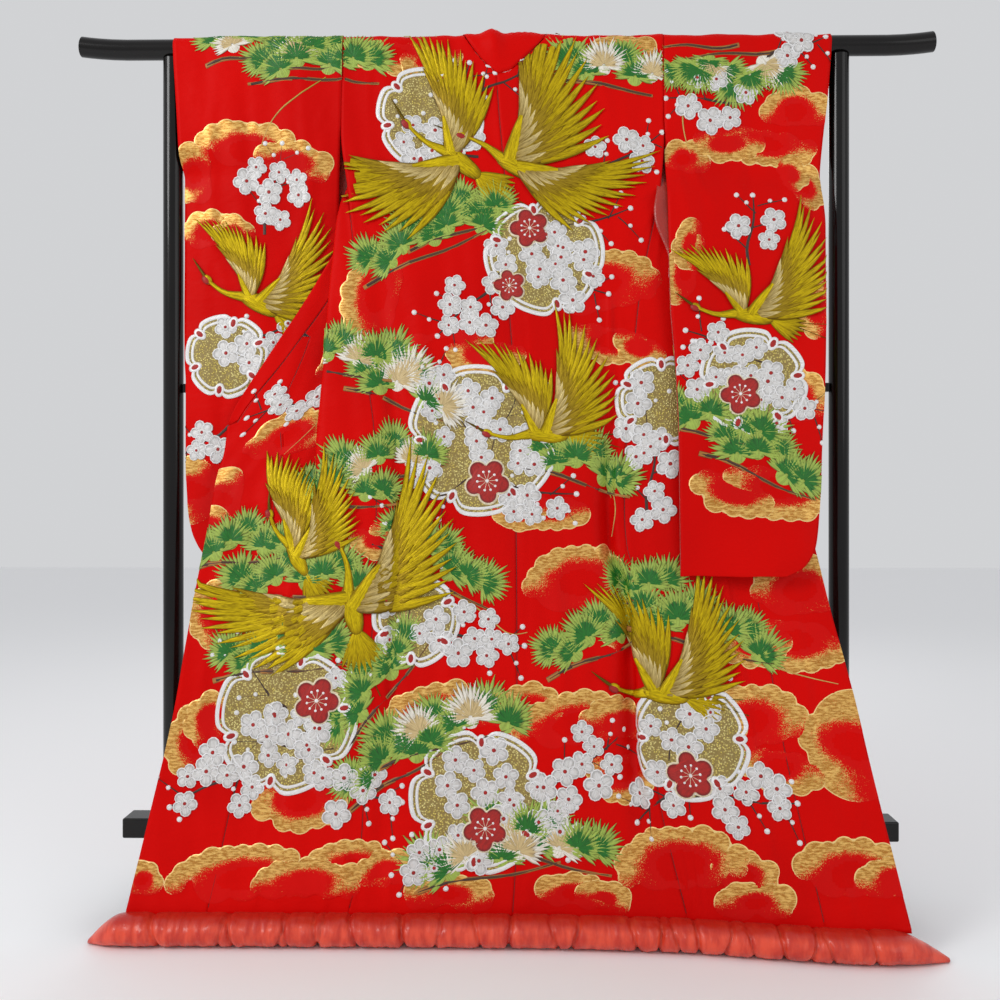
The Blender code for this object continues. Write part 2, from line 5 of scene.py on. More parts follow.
import bmesh
import bpy
import numpy as np
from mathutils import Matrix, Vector


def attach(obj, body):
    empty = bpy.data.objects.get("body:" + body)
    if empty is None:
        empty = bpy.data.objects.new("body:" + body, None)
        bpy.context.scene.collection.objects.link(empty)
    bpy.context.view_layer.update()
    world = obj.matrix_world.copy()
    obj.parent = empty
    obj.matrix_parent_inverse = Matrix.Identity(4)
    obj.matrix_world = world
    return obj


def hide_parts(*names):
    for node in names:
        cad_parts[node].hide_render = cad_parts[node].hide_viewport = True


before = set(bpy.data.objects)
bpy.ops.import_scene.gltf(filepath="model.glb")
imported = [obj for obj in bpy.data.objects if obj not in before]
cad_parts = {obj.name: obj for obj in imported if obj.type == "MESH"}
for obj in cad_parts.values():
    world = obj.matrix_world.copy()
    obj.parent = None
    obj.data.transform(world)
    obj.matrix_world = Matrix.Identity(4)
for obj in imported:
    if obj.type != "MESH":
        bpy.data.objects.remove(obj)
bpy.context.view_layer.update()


def put(name, data):
    """Adds an object to the scene."""
    made = bpy.data.objects.new(name, data)
    bpy.context.scene.collection.objects.link(made)
    return made


# Camera
lens = bpy.data.cameras.new("camera")
lens.sensor_width = 36.0
lens.lens = 37.26
lens.shift_x = -0.005
lens.shift_y = -0.01
lens.clip_end = 60.0
camera = put("camera", lens)
camera.location = (0.0311, -2.0323, 0.83)
camera.rotation_euler = (math.pi / 2, 0.0, math.radians(0.85))
bpy.context.scene.camera = camera
bpy.context.scene.view_settings.view_transform = "Standard"

# Stand. The bar's axis is X, and beyond BAR_RISES_FROM its ends curve up by BAR_RISE
BAR_Z = 1.727
BAR_R = 0.02
BAR_STATIONS = [0.4, 0.72, 0.77, 0.8, 0.825, 0.845, 0.862]
BAR_RISES_FROM = 0.76
BAR_END = 0.102
BAR_RISE = 0.007
BAR_SLOPE = 0.14
POST_R = 0.02
POST_X = (-0.676, 0.674)
RAIL_X = (-0.77, 0.785)
RAIL_Z = (0.129, 0.169)
RAIL_HALF_Y = 0.03
MID_RAIL_Z = (1.028, 1.046)
MID_RAIL_HALF_Y = 0.0075
FOOT_HALF_X = 0.03
FOOT_HALF_Y = 0.17
JOINT_GAP = 0.0004

# Cloth. WALL is the solids' wall, and SHELL is the lined shell that lies in its outer part
WALL = 0.002
SHELL = 0.0016
OVER_BAR = BAR_R + 0.0013
ARC = OVER_BAR * math.pi / 2
HEM_Z = 0.052
SEAM = 0.0007
SIDE_GAP = 0.0007
NECK_LIFT = 0.0014
NECK_EASE = 0.012
BAR_REACH = 0.12
ROLL_REACH = 0.012
COLLAR_LIFT = 0.0032
ROLL_HALF_Y = 0.0375
ROLL_HALF_Z = 0.0275
ROLL_Z = 0.026
ROLL_X = (-0.76, 0.785)
SHIFT_Y = 0.0673

# Line of the hem's roll on the floor: X, Y
ROLL_LINE = [(-0.8, -0.215), (-0.6, -0.212), (-0.3, -0.21), (0.0, -0.21), (0.3, -0.222), (0.5, -0.25),
             (0.65, -0.268), (0.8, -0.268)]

# The tables below give a size at heights above the floor, highest first
CENTRE_X = [(1.727, -0.0165), (1.662, -0.0157), (1.492, -0.0034), (1.398, 0.0046), (1.238, 0.0068),
            (1.07, 0.0168), (0.782, 0.0228), (0.44, 0.0248), (0.16, 0.0231), (0.052, 0.017)]
SIDE_X = {
    "left": [(1.727, -0.3265), (1.551, -0.3278), (1.424, -0.3121), (1.322, -0.3006), (1.16, -0.2843),
             (1.073, -0.2731), (0.97, -0.2558), (0.861, -0.2463), (0.667, -0.2471), (0.532, -0.2524),
             (0.349, -0.2586), (0.124, -0.2672), (0.052, -0.286)],
    "right": [(1.727, 0.3175), (1.547, 0.3172), (1.437, 0.3099), (1.333, 0.2889), (1.275, 0.2764),
              (1.171, 0.2595), (1.083, 0.2507), (0.946, 0.2375), (0.8, 0.231), (0.716, 0.2335),
              (0.655, 0.254), (0.562, 0.272), (0.373, 0.2766), (0.258, 0.2875), (0.134, 0.3142),
              (0.052, 0.335)],
}
TUCK_OUT_X = {
    "left": [(1.727, -0.2965), (1.5, -0.304), (1.45, -0.315), (1.405, -0.329), (1.37, -0.337),
             (1.285, -0.345), (1.145, -0.355), (0.986, -0.363), (0.908, -0.366), (0.8, -0.372),
             (0.6, -0.382), (0.052, -0.425)],
    "right": [(1.727, 0.2875), (1.5, 0.288), (1.45, 0.304), (1.405, 0.322), (1.37, 0.332), (1.3, 0.348),
              (1.15, 0.375), (0.95, 0.385), (0.8, 0.39), (0.6, 0.399), (0.052, 0.46)],
}
TUCK_IN_X = {
    "left": [(1.727, -0.055), (1.69, -0.056), (1.65, -0.065), (1.5, -0.115), (1.4, -0.16), (1.32, -0.2),
             (1.15, -0.255), (1.05, -0.285), (0.95, -0.32), (0.87, -0.36), (0.8, -0.385), (0.7, -0.408),
             (0.052, -0.48)],
    "right": [(1.727, 0.055), (1.69, 0.056), (1.65, 0.065), (1.5, 0.115), (1.4, 0.16), (1.32, 0.205),
              (1.15, 0.265), (1.05, 0.3), (0.95, 0.34), (0.87, 0.38), (0.8, 0.403), (0.7, 0.42),
              (0.052, 0.51)],
}
EDGE_X = {
    "left": [(1.727, -0.03), (1.7, -0.043), (1.65, -0.1), (1.5, -0.217), (1.4, -0.285), (1.306, -0.342),
             (1.213, -0.397), (1.153, -0.436), (1.077, -0.486), (1.03, -0.517), (0.98, -0.544),
             (0.953, -0.552), (0.908, -0.556), (0.865, -0.566), (0.757, -0.578), (0.625, -0.5985),
             (0.544, -0.61), (0.425, -0.625), (0.197, -0.669), (0.052, -0.697)],
    "right": [(1.727, 0.03), (1.7, 0.043), (1.65, 0.1), (1.5, 0.215), (1.4, 0.283), (1.3, 0.34),
              (1.15, 0.432), (1.03, 0.508), (0.953, 0.542), (0.865, 0.564), (0.726, 0.59), (0.625, 0.6093),
              (0.443, 0.6491), (0.292, 0.677), (0.168, 0.7018), (0.052, 0.724)],
}
LAYER_STEP = [(1.727, 0.0), (1.7, 0.0015), (1.65, 0.005), (1.5, 0.0062), (1.33, 0.0062), (1.15, 0.008),
              (1.0, 0.01), (0.9, 0.01), (0.8, 0.006), (0.6, 0.004), (0.15, 0.002), (0.052, 0.0)]
BEHIND_BAR = [(1.727, 0.0426), (1.7, 0.043), (1.65, 0.036), (1.6, 0.027), (1.54, 0.015), (1.48, 0.0055),
              (1.42, 0.0)]
JOINED = [(1.425, 0.0), (1.365, 1.0)]
COLLAR_WIDE = [(1.727, 0.058), (1.6, 0.056), (1.3, 0.05), (1.1, 0.04), (0.958, 0.016)]
OKUMI_WIDE = [(1.14, 0.014), (0.958, 0.096), (0.945, 0.113), (0.62, 0.13), (0.35, 0.148), (0.052, 0.151)]
BACK_TROUGH = {
    "left": [(1.25, 0.0), (1.0, 0.012), (0.6, 0.015), (0.25, 0.01), (0.052, 0.0)],
    "right": [(1.1, 0.0), (0.9, 0.018), (0.7, 0.03), (0.4, 0.03), (0.2, 0.015), (0.052, 0.0)],
}
# How far down the cloth from the shoulder line the neck is cut out, at X
NECK_DROP = [(-0.088, 0.0), (-0.083, 0.012), (-0.077, 0.026), (-0.06, 0.05), (-0.037, 0.078),
             (-0.0165, 0.096), (0.01, 0.09), (0.038, 0.064), (0.06, 0.044), (0.077, 0.026), (0.083, 0.012),
             (0.088, 0.0)]
NECK_POINT = 0.088
COLLAR_END_Z = 0.958
OKUMI_TOP_Z = 1.14
OPEN_FROM_Z = 1.565

# Sleeves, as tables over height again
SLEEVE_END_Z = {"left": 0.66, "right": 0.668}
SLEEVE_IN_X = {
    "left": [(1.565, -0.3285), (1.5, -0.331), (1.435, -0.334), (1.3, -0.336), (1.0, -0.341),
             (0.66, -0.352)],
    "right": [(1.565, 0.318), (1.49, 0.319), (1.33, 0.3205), (1.18, 0.323), (1.06, 0.331), (0.945, 0.3345),
              (0.668, 0.333)],
}
SLEEVE_OUT_X = {
    "left": [(1.727, -0.67), (1.6, -0.662), (1.5, -0.656), (1.46, -0.6505), (1.216, -0.6505),
             (1.09, -0.647), (1.05, -0.644), (0.89, -0.643), (0.8, -0.639), (0.749, -0.631),
             (0.715, -0.616), (0.69, -0.595), (0.67, -0.565), (0.66, -0.53)],
    "right": [(1.727, 0.6536), (1.618, 0.6454), (1.574, 0.6403), (1.496, 0.6321), (1.385, 0.6275),
              (1.069, 0.6158), (0.909, 0.6029), (0.811, 0.5951), (0.727, 0.5843), (0.7, 0.572),
              (0.682, 0.556), (0.668, 0.528)],
}
SLEEVE_FRONT_IN_Y = [(1.727, -0.0213), (1.565, -0.0317), (1.5, -0.027), (1.43, -0.019), (1.36, -0.0135),
                     (1.2, -0.016), (1.035, -0.027), (0.8, -0.032), (0.66, -0.033)]
SLEEVE_REAR_IN_Y = [(1.727, 0.0213), (1.65, 0.012), (1.565, -0.003), (1.43, -0.002), (1.36, 0.0),
                    (1.2, -0.003), (1.035, -0.014), (0.8, -0.018), (0.66, -0.021)]
SLEEVE_SHUT_Y = {
    "left": [(1.46, -0.002), (1.2, -0.01), (1.035, -0.022), (0.66, -0.027)],
    "right": [(1.46, -0.018), (1.36, -0.042), (1.3, -0.06)],
}
CUFF_Y = [(1.727, 0.0213), (1.69, 0.023)]
CUFF_SHUT = [(1.52, 0.0), (1.46, 1.0)]
SLEEVE_PUSHED = [(1.52, 0.0), (1.4, 1.0)]
SHUT_HALF = 0.0014
ARMHOLE_BACKED = [(1.4, 1.0), (1.28, 0.0)]
# The right sleeve lies on the wing behind it: how far in front its layers' inner edges and its cuff lie
LAID_ON = [(1.46, 0.0), (1.34, 1.0)]
LAID_REAR = 0.011
LAID_FRONT = 0.021
LAID_CUFF = 0.015
SLEEVE_WAVE = 0.004
SLEEVE_PUFF = 0.0035
CURVED_END = 0.035

SIGN = {"left": -1, "right": 1}


def table(at, rows):
    """Reads a size from a table with a smooth curve that never overshoots it."""
    rows = sorted(rows)
    x = np.array([row[0] for row in rows])
    y = np.array([row[1] for row in rows])
    if len(rows) == 2:
        k = min(max((at - x[0]) / (x[1] - x[0]), 0.0), 1.0)
        return y[0] + (y[1] - y[0]) * k * k * (3 - 2 * k)
    at = min(max(at, x[0]), x[-1])
    i = int(min(np.searchsorted(x, at, side="right") - 1, len(x) - 2))
    step = np.diff(x)
    rise = np.diff(y) / step
    lean = np.zeros(len(x))
    for j in range(1, len(x) - 1):
        if rise[j - 1] * rise[j] > 0:
            a = 2 * step[j] + step[j - 1]
            b = step[j] + 2 * step[j - 1]
            lean[j] = (a + b) / (a / rise[j - 1] + b / rise[j])
    lean[0] = rise[0]
    lean[-1] = rise[-1]
    k = (at - x[i]) / step[i]
    return ((1 + 2 * k) * (1 - k) ** 2 * y[i] + k * (1 - k) ** 2 * step[i] * lean[i]
            + k * k * (3 - 2 * k) * y[i + 1] + k * k * (k - 1) * step[i] * lean[i + 1])


def straight(at, rows):
    """Reads a size from a table, straight from row to row."""
    rows = sorted(rows)
    return np.interp(at, [row[0] for row in rows], [row[1] for row in rows])


def blend(a, b, k):
    return a + (b - a) * k


def smooth(x, low, high):
    """Rises softly from 0 at low to 1 at high."""
    k = np.clip((np.asarray(x, float) - low) / (high - low), 0.0, 1.0)
    return k * k * (3 - 2 * k)


def hang_y(x, z):
    """Y of the plain hanging sheet, from the bar's near side to the roll on the floor."""
    reach = -table(x, ROLL_LINE) - ROLL_REACH - OVER_BAR
    drop = max(0.0, (BAR_Z - z) / (BAR_Z - HEM_Z))
    return -OVER_BAR - reach * drop ** 1.25


def spline(points, count):
    """Cubic B-spline through the first and last of the points, sampled evenly in its parameter."""
    p = np.array(points, float)
    p = np.vstack([2 * p[0] - p[1], p, 2 * p[-1] - p[-2]])
    spans = len(p) - 3
    u = np.linspace(0, spans, count)
    i = np.minimum(u.astype(int), spans - 1)
    k = (u - i)[:, None]
    return ((1 - k) ** 3 * p[i] + (3 * k ** 3 - 6 * k ** 2 + 4) * p[i + 1]
            + (-3 * k ** 3 + 3 * k ** 2 + 3 * k + 1) * p[i + 2] + k ** 3 * p[i + 3]) / 6


def front_section(side, z):
    """The front half's level section, from the side seam out, back in behind, and out to its edge."""
    seam = table(z, SIDE_X[side])
    out = table(z, TUCK_OUT_X[side])
    inner = table(z, TUCK_IN_X[side])
    edge = table(z, EDGE_X[side])
    step = table(z, LAYER_STEP)
    behind = table(z, BEHIND_BAR)
    middle = 2 * step + behind
    near = blend(middle, 0.0, table(z, JOINED))
    far = 4 * step + behind
    plan = [(seam, near), (blend(seam, out, 0.5), near), (out, near), (out, middle),
            (blend(out, inner, 0.5), middle), (inner, middle), (inner, far),
            (blend(inner, edge, 0.33), far), (blend(inner, edge, 0.67), far), (edge, far)]
    return spline([(x, hang_y(x, z) + away) for x, away in plan], 361)


def along(curve):
    """How far along the curve each of its points lies."""
    steps = np.hypot(*np.diff(curve, axis=0).T)
    return np.concatenate([[0.0], np.cumsum(steps)])


def back_section(side, z):
    """The back half's level section, from the centre seam to the side seam."""
    centre = table(z, CENTRE_X)
    seam = table(z, SIDE_X[side])
    trough = table(z, BACK_TROUGH[side])
    wave = 0.004 * math.sin(math.pi * min(max((1.6 - z) / 1.5, 0.0), 1.0))
    plan = [(0.0, 0.0), (0.18, -wave), (0.38, wave), (0.58, -0.5 * wave), (0.74, 0.0), (0.8, 0.5 * trough),
            (0.84, trough), (0.89, 0.8 * trough), (0.93, 0.0), (1.0, 0.0)]
    points = []
    for part, away in plan:
        x = blend(centre, seam, part)
        points.append((x, hang_y(x, z) + away))
    return spline(points, 241)


def over_front(x, drop, lift=0.0):
    """A point on the near side, this far down the cloth from the shoulder line."""
    if drop < ARC:
        turn = drop / OVER_BAR
        r = OVER_BAR + lift
        return (x, -r * math.sin(turn), BAR_Z + r * math.cos(turn))
    z = BAR_Z - (drop - ARC)
    return (x, hang_y(x, z) - lift * max(0.0, 1 - (drop - ARC) / BAR_REACH), z)


def over_rear(x, drop, lift=0.0):
    """A point on the far side, this far down the cloth from the shoulder line."""
    r = OVER_BAR + lift
    if drop < ARC:
        turn = drop / OVER_BAR
        return (x, r * math.sin(turn), BAR_Z + r * math.cos(turn))
    return (x, r, BAR_Z - (drop - ARC))


def sleeve_row(side, z, rear, shares):
    """One level row of a sleeve's near or far layer, from its inner to its outer edge."""
    end = SLEEVE_END_Z[side]
    seam = table(z, SIDE_X[side])
    sign = SIGN[side]
    inner = seam + sign * SIDE_GAP / 2 if z >= OPEN_FROM_Z - 1e-6 else table(z, SLEEVE_IN_X[side])
    outer = table(z, SLEEVE_OUT_X[side])
    shut = table(z, CUFF_SHUT)
    turn = 1 if rear else -1
    bottom = min(max((z - end) / CURVED_END, 0.0), 1.0) ** 0.5
    pushed = table(z, SLEEVE_PUSHED)
    laid_on = table(z, LAID_ON)
    row = []
    for share in shares:
        x = blend(inner, outer, share)
        if rear and z < OPEN_FROM_Z - 1e-6:
            x = blend(blend(inner, seam - sign * 0.008, table(z, ARMHOLE_BACKED)), outer, share)
        inner_y = table(z, SLEEVE_REAR_IN_Y if rear else SLEEVE_FRONT_IN_Y)
        if z >= OPEN_FROM_Z - 1e-6:
            inner_y = hang_y(x, z)
            if rear:
                inner_y += 2 * table(z, LAYER_STEP) + table(z, BEHIND_BAR)
        seat = table(z, SLEEVE_SHUT_Y[side])
        if side == "right":
            laid = hang_y(x, z) - (LAID_REAR if rear else LAID_FRONT)
            inner_y = blend(inner_y, laid, pushed)
            seat = blend(seat, hang_y(x, z) - LAID_CUFF, laid_on)
        outer_y = blend(turn * table(z, CUFF_Y), seat + turn * SHUT_HALF, shut)
        wave = SLEEVE_WAVE * shut * math.sin(2.2 * math.pi * share) * share
        puff = turn * SLEEVE_PUFF * shut * math.sin(math.pi * share)
        y = blend(inner_y, outer_y, share) + wave + puff
        flat = seat + turn * SHUT_HALF + wave
        row.append((x, blend(flat, y, bottom), z))
    return row


# Soft folds, listed one by one. Each runs from U0, V0 to U1, V1 on the cloth, with its half width and its
# height
BODY_FOLDS = [
    # Pull lines from the armholes and under the bar
    (-0.322, 1.436, -0.215, 1.385, 0.004, 0.0022), (-0.322, 1.44, -0.255, 1.33, 0.0045, 0.002),
    (-0.318, 1.46, -0.2, 1.455, 0.004, 0.0013), (-0.322, 1.425, -0.29, 1.25, 0.006, 0.0018),
    (0.318, 1.442, 0.235, 1.392, 0.0045, 0.002), (0.318, 1.44, 0.262, 1.335, 0.0045, 0.0018),
    (0.314, 1.455, 0.225, 1.475, 0.004, 0.0012), (0.312, 1.42, 0.285, 1.24, 0.006, 0.0018),
    (-0.25, 1.735, -0.262, 1.56, 0.006, 0.0012), (-0.15, 1.735, -0.205, 1.52, 0.006, 0.0012),
    (0.19, 1.74, 0.225, 1.58, 0.006, 0.0012), (0.262, 1.735, 0.28, 1.56, 0.0055, 0.0012),
    (-0.08, 1.7, -0.15, 1.61, 0.005, 0.0014), (0.07, 1.69, 0.135, 1.64, 0.005, 0.0013),
    # Folds down the back
    (0.196, 1.235, 0.192, 1.03, 0.0055, 0.0032), (0.208, 1.21, 0.205, 1.05, 0.005, -0.0026),
    (0.226, 1.02, 0.232, 0.69, 0.008, -0.0036), (0.214, 1.03, 0.214, 0.66, 0.006, 0.002),
    (0.243, 0.7, 0.262, 0.18, 0.005, 0.0034), (0.226, 0.69, 0.244, 0.2, 0.006, -0.0036),
    (0.232, 0.668, 0.258, 0.65, 0.004, 0.0026), (-0.262, 0.9, -0.268, 0.35, 0.0075, -0.003),
    (-0.246, 0.95, -0.25, 0.3, 0.006, 0.002), (-0.14, 0.7, -0.128, 0.25, 0.016, 0.003),
    (-0.07, 0.62, -0.062, 0.2, 0.013, -0.0024), (0.08, 0.76, 0.092, 0.3, 0.015, 0.003),
    (0.14, 0.56, 0.15, 0.18, 0.012, -0.0024), (-0.17, 1.3, -0.185, 0.93, 0.014, 0.0022),
    (0.09, 1.25, 0.11, 0.9, 0.015, 0.0022), (-0.012, 1.64, -0.014, 0.15, 0.005, -0.001),
    (0.012, 1.64, 0.014, 0.15, 0.005, -0.001),
    # Folds down the spread fronts
    (-0.395, 1.01, -0.372, 0.7, 0.006, 0.003), (-0.41, 0.96, -0.392, 0.62, 0.007, -0.0034),
    (-0.455, 0.8, -0.47, 0.26, 0.013, 0.003), (-0.512, 0.82, -0.545, 0.3, 0.012, -0.0026),
    (-0.56, 0.9, -0.625, 0.2, 0.01, 0.0022), (-0.35, 0.56, -0.345, 0.2, 0.012, -0.0028),
    (0.372, 0.74, 0.366, 0.28, 0.013, 0.0032), (0.425, 0.7, 0.438, 0.24, 0.012, -0.003),
    (0.492, 0.64, 0.53, 0.18, 0.012, 0.0028), (0.56, 0.66, 0.61, 0.22, 0.011, -0.0024),
    (0.61, 0.6, 0.672, 0.18, 0.01, 0.002), (0.305, 0.48, 0.312, 0.16, 0.009, 0.0024),
    # Gathers over the hem roll
    (-0.33, 0.2, -0.3, 0.06, 0.006, 0.0034), (-0.312, 0.19, -0.282, 0.058, 0.005, -0.0028),
    (-0.352, 0.15, -0.345, 0.055, 0.0055, 0.0024), (0.3, 0.18, 0.322, 0.056, 0.006, 0.0034),
    (0.322, 0.19, 0.35, 0.056, 0.005, -0.0026), (0.362, 0.16, 0.384, 0.056, 0.006, 0.0026),
    (-0.6, 0.15, -0.59, 0.056, 0.008, 0.002), (-0.48, 0.14, -0.478, 0.056, 0.007, 0.002),
    (-0.16, 0.13, -0.15, 0.056, 0.008, 0.0018), (0.02, 0.12, 0.024, 0.056, 0.008, 0.0018),
    (0.15, 0.13, 0.156, 0.056, 0.008, 0.0018), (0.48, 0.13, 0.5, 0.056, 0.008, 0.002),
    (0.59, 0.14, 0.61, 0.056, 0.008, 0.0018), (-0.235, 0.13, -0.225, 0.056, 0.006, 0.002),
]
SLEEVE_FOLDS = {
    "left": [
        (-0.42, 1.73, -0.375, 1.3, 0.011, 0.0022), (-0.52, 1.735, -0.505, 1.25, 0.014, -0.0022),
        (-0.59, 1.73, -0.6, 1.15, 0.012, 0.0022), (-0.35, 1.56, -0.43, 1.33, 0.007, 0.0018),
        (-0.64, 1.44, -0.56, 1.23, 0.008, 0.0016), (-0.48, 1.2, -0.5, 0.72, 0.016, 0.0024),
        (-0.56, 1.1, -0.585, 0.76, 0.012, -0.0022), (-0.4, 1.15, -0.41, 0.72, 0.014, -0.0022),
        (-0.355, 1.62, -0.38, 1.54, 0.005, 0.0014),
        (-0.5, 1.88, -0.49, 2.4, 0.016, 0.0024), (-0.4, 1.9, -0.41, 2.5, 0.013, -0.0022),
        (-0.6, 1.95, -0.59, 2.65, 0.013, 0.0022), (-0.35, 2.1, -0.43, 2.35, 0.008, 0.0016),
    ],
    "right": [
        (0.4, 1.735, 0.372, 1.32, 0.011, 0.0022), (0.49, 1.735, 0.478, 1.25, 0.013, -0.0022),
        (0.56, 1.73, 0.575, 1.18, 0.012, 0.0022), (0.335, 1.545, 0.42, 1.36, 0.007, 0.002),
        (0.332, 1.5, 0.38, 1.25, 0.008, 0.002), (0.47, 1.15, 0.462, 0.72, 0.015, 0.0026),
        (0.54, 1.12, 0.552, 0.75, 0.012, -0.0024), (0.395, 1.1, 0.388, 0.72, 0.012, -0.0022),
        (0.6, 1.4, 0.54, 1.24, 0.008, 0.0014),
        (0.48, 1.88, 0.47, 2.4, 0.016, 0.0024), (0.39, 1.9, 0.4, 2.5, 0.013, -0.0022),
        (0.57, 1.95, 0.56, 2.6, 0.013, 0.0022), (0.345, 2.1, 0.42, 2.35, 0.008, 0.0016),
    ],
}
# Long shallow unevenness: waves across, waves up, lean and height
BODY_WAVES = [(9.0, 0.7, 0.4, 0.0009), (23.0, 1.9, 2.1, 0.0005), (5.0, 3.1, 1.3, 0.0008)]
SLEEVE_WAVES = [(8.0, 0.9, 1.1, 0.001), (17.0, 2.3, 0.3, 0.0005)]
# How many times its height in the tables each fold stands out, and how far it bows sideways
FOLD_DEPTH = 1.2
FOLD_BOW = 0.01


def fold_heights(u, v, folds, waves):
    """How far the cloth stands out at each place for all its folds and waves."""
    total = np.zeros_like(u)
    for u0, v0, u1, v1, wide, high in folds:
        du, dv = u1 - u0, v1 - v0
        length = math.hypot(du, dv)
        part = ((u - u0) * du + (v - v0) * dv) / length ** 2
        bow = FOLD_BOW * np.sin(3.0 * part + 40 * u0)
        away = ((u - u0) * dv - (v - v0) * du) / length + bow * length
        ends = np.sin(np.pi * np.clip(part, 0.0, 1.0)) ** 0.7
        total += FOLD_DEPTH * high * ends * np.exp(-(away / wide) ** 2)
    for across, up, lean, high in waves:
        total += high * np.sin(across * u * 2 * np.pi + lean + up * v * 2 * np.pi)
    return total


class Panel:
    """A face of cloth as a net of points. V runs up the cloth, and shares of 0 to 1 run across it."""

    def __init__(self, heights, starts, ends, points, sign):
        self.heights = np.array(heights, float)
        self.starts = np.array(starts, float)
        self.ends = np.array(ends, float)
        self.points = np.array(points, float)
        self.sign = sign
        self.covered = None
        self.turn_normals()

    def turn_normals(self):
        across = np.gradient(self.points, axis=1)
        up = np.gradient(self.points, axis=0)
        normals = np.cross(across, up) * self.sign
        self.normals = normals / np.maximum(np.linalg.norm(normals, axis=2, keepdims=True), 1e-12)

    def raise_face(self, folds, waves):
        """Moves the middle layer out to the outer face, with its folds."""
        part = np.linspace(0, 1, self.points.shape[1])[None, :]
        u = blend(self.starts[:, None], self.ends[:, None], part)
        v = np.repeat(self.heights[:, None], self.points.shape[1], axis=1)
        out = WALL / 2 + fold_heights(u, v, folds, waves)
        self.points += self.normals * out[:, :, None]
        self.turn_normals()

    def share(self, u, v):
        """How far across the panel each place lies, from 0 to 1."""
        start = np.interp(v, self.heights, self.starts)
        end = np.interp(v, self.heights, self.ends)
        return (u - start) / (end - start)

    def place(self, u, v):
        """Points and outward directions at these places."""
        rows, columns, _ = self.points.shape
        row = np.interp(v, self.heights, np.arange(rows))
        column = np.clip(self.share(u, v), 0.0, 1.0) * (columns - 1)
        r = np.minimum(row.astype(int), rows - 2)
        c = np.minimum(column.astype(int), columns - 2)
        fr = (row - r)[:, None]
        fc = (column - c)[:, None]
        found = []
        for net in (self.points, self.normals):
            low = net[r, c] * (1 - fc) + net[r, c + 1] * fc
            high = net[r + 1, c] * (1 - fc) + net[r + 1, c + 1] * fc
            found.append(low * (1 - fr) + high * fr)
        points, normals = found
        return points, normals / np.maximum(np.linalg.norm(normals, axis=1, keepdims=True), 1e-12)


class Face:
    """Panels side by side that needlework is laid on."""

    def __init__(self, panels):
        self.panels = panels

    def place(self, u, v):
        """Points, outward directions, and whether each place is on the cloth."""
        u = np.asarray(u, float)
        v = np.asarray(v, float)
        points = np.zeros((len(u), 3))
        normals = np.zeros((len(u), 3))
        left = np.ones(len(u), bool)
        inside = np.zeros(len(u), bool)
        for panel in self.panels:
            share = panel.share(u, v)
            mine = left & (share >= 0.0) & (share <= 1.0)
            inside |= mine & (v >= panel.heights[0]) & (v <= panel.heights[-1])
            if mine.any():
                points[mine], normals[mine] = panel.place(u[mine], v[mine])
                if panel.covered is not None:
                    row = np.interp(v[mine], panel.heights, np.arange(len(panel.heights)))
                    column = share[mine] * (panel.covered.shape[1] - 1)
                    inside[mine] &= ~panel.covered[row.round().astype(int), column.round().astype(int)]
            left &= ~mine
        for panel in self.panels[::-1]:
            mine = left & (panel.share(u, v) > 1.0)
            if mine.any():
                points[mine], normals[mine] = panel.place(u[mine], v[mine])
            left &= ~mine
        if left.any():
            points[left], normals[left] = self.panels[0].place(u[left], v[left])
        return points, normals, inside


def spread(low, high, step):
    """Even values from low to high, no further apart than the step."""
    return list(np.linspace(low, high, int(math.ceil((high - low) / step)) + 1))


# How finely the panels are netted. The hem is sewn in under the roll, and needlework is left off the
# folded-in part of a front below FOLD_SEEN_FROM, where nobody sees it
SEWN_IN = 0.007
BODY_V = spread(HEM_Z - SEWN_IN, BAR_Z, 0.0075) + [BAR_Z + ARC * i / 8 for i in range(1, 9)]
FOLD_SEEN_FROM = 1.3
BACK_COUNT = 53
FRONT_COUNT = 105
SLEEVE_COUNT = 45
FRONT_ACROSS = 74
OKUMI_ACROSS = 25
COLLAR_ACROSS = 13


def back_face(side):
    """The back panel from the centre seam to the side seam, up to the shoulder line or the neck."""
    starts, ends, net = [], [], []
    for v in BODY_V:
        z = min(v, BAR_Z)
        curve = back_section(side, z)
        length = along(curve)
        want = np.linspace(0.0, length[-1], BACK_COUNT)
        row = []
        for x, y in zip(np.interp(want, length, curve[:, 0]), np.interp(want, length, curve[:, 1])):
            drop = ARC + BAR_Z - v
            if drop < ARC + BAR_REACH:
                start = straight(x, NECK_DROP) + SEAM if abs(x) < NECK_POINT else SEAM
                lift = NECK_LIFT * (1 - smooth(abs(x), NECK_POINT, NECK_POINT + NECK_EASE))
                row.append(over_front(x, max(drop, start), lift))
            else:
                row.append((x, y, z))
        net.append(row)
        starts.append(0.0)
        ends.append(SIGN[side] * length[-1])
    return Panel(BODY_V, starts, ends, net, SIGN[side])


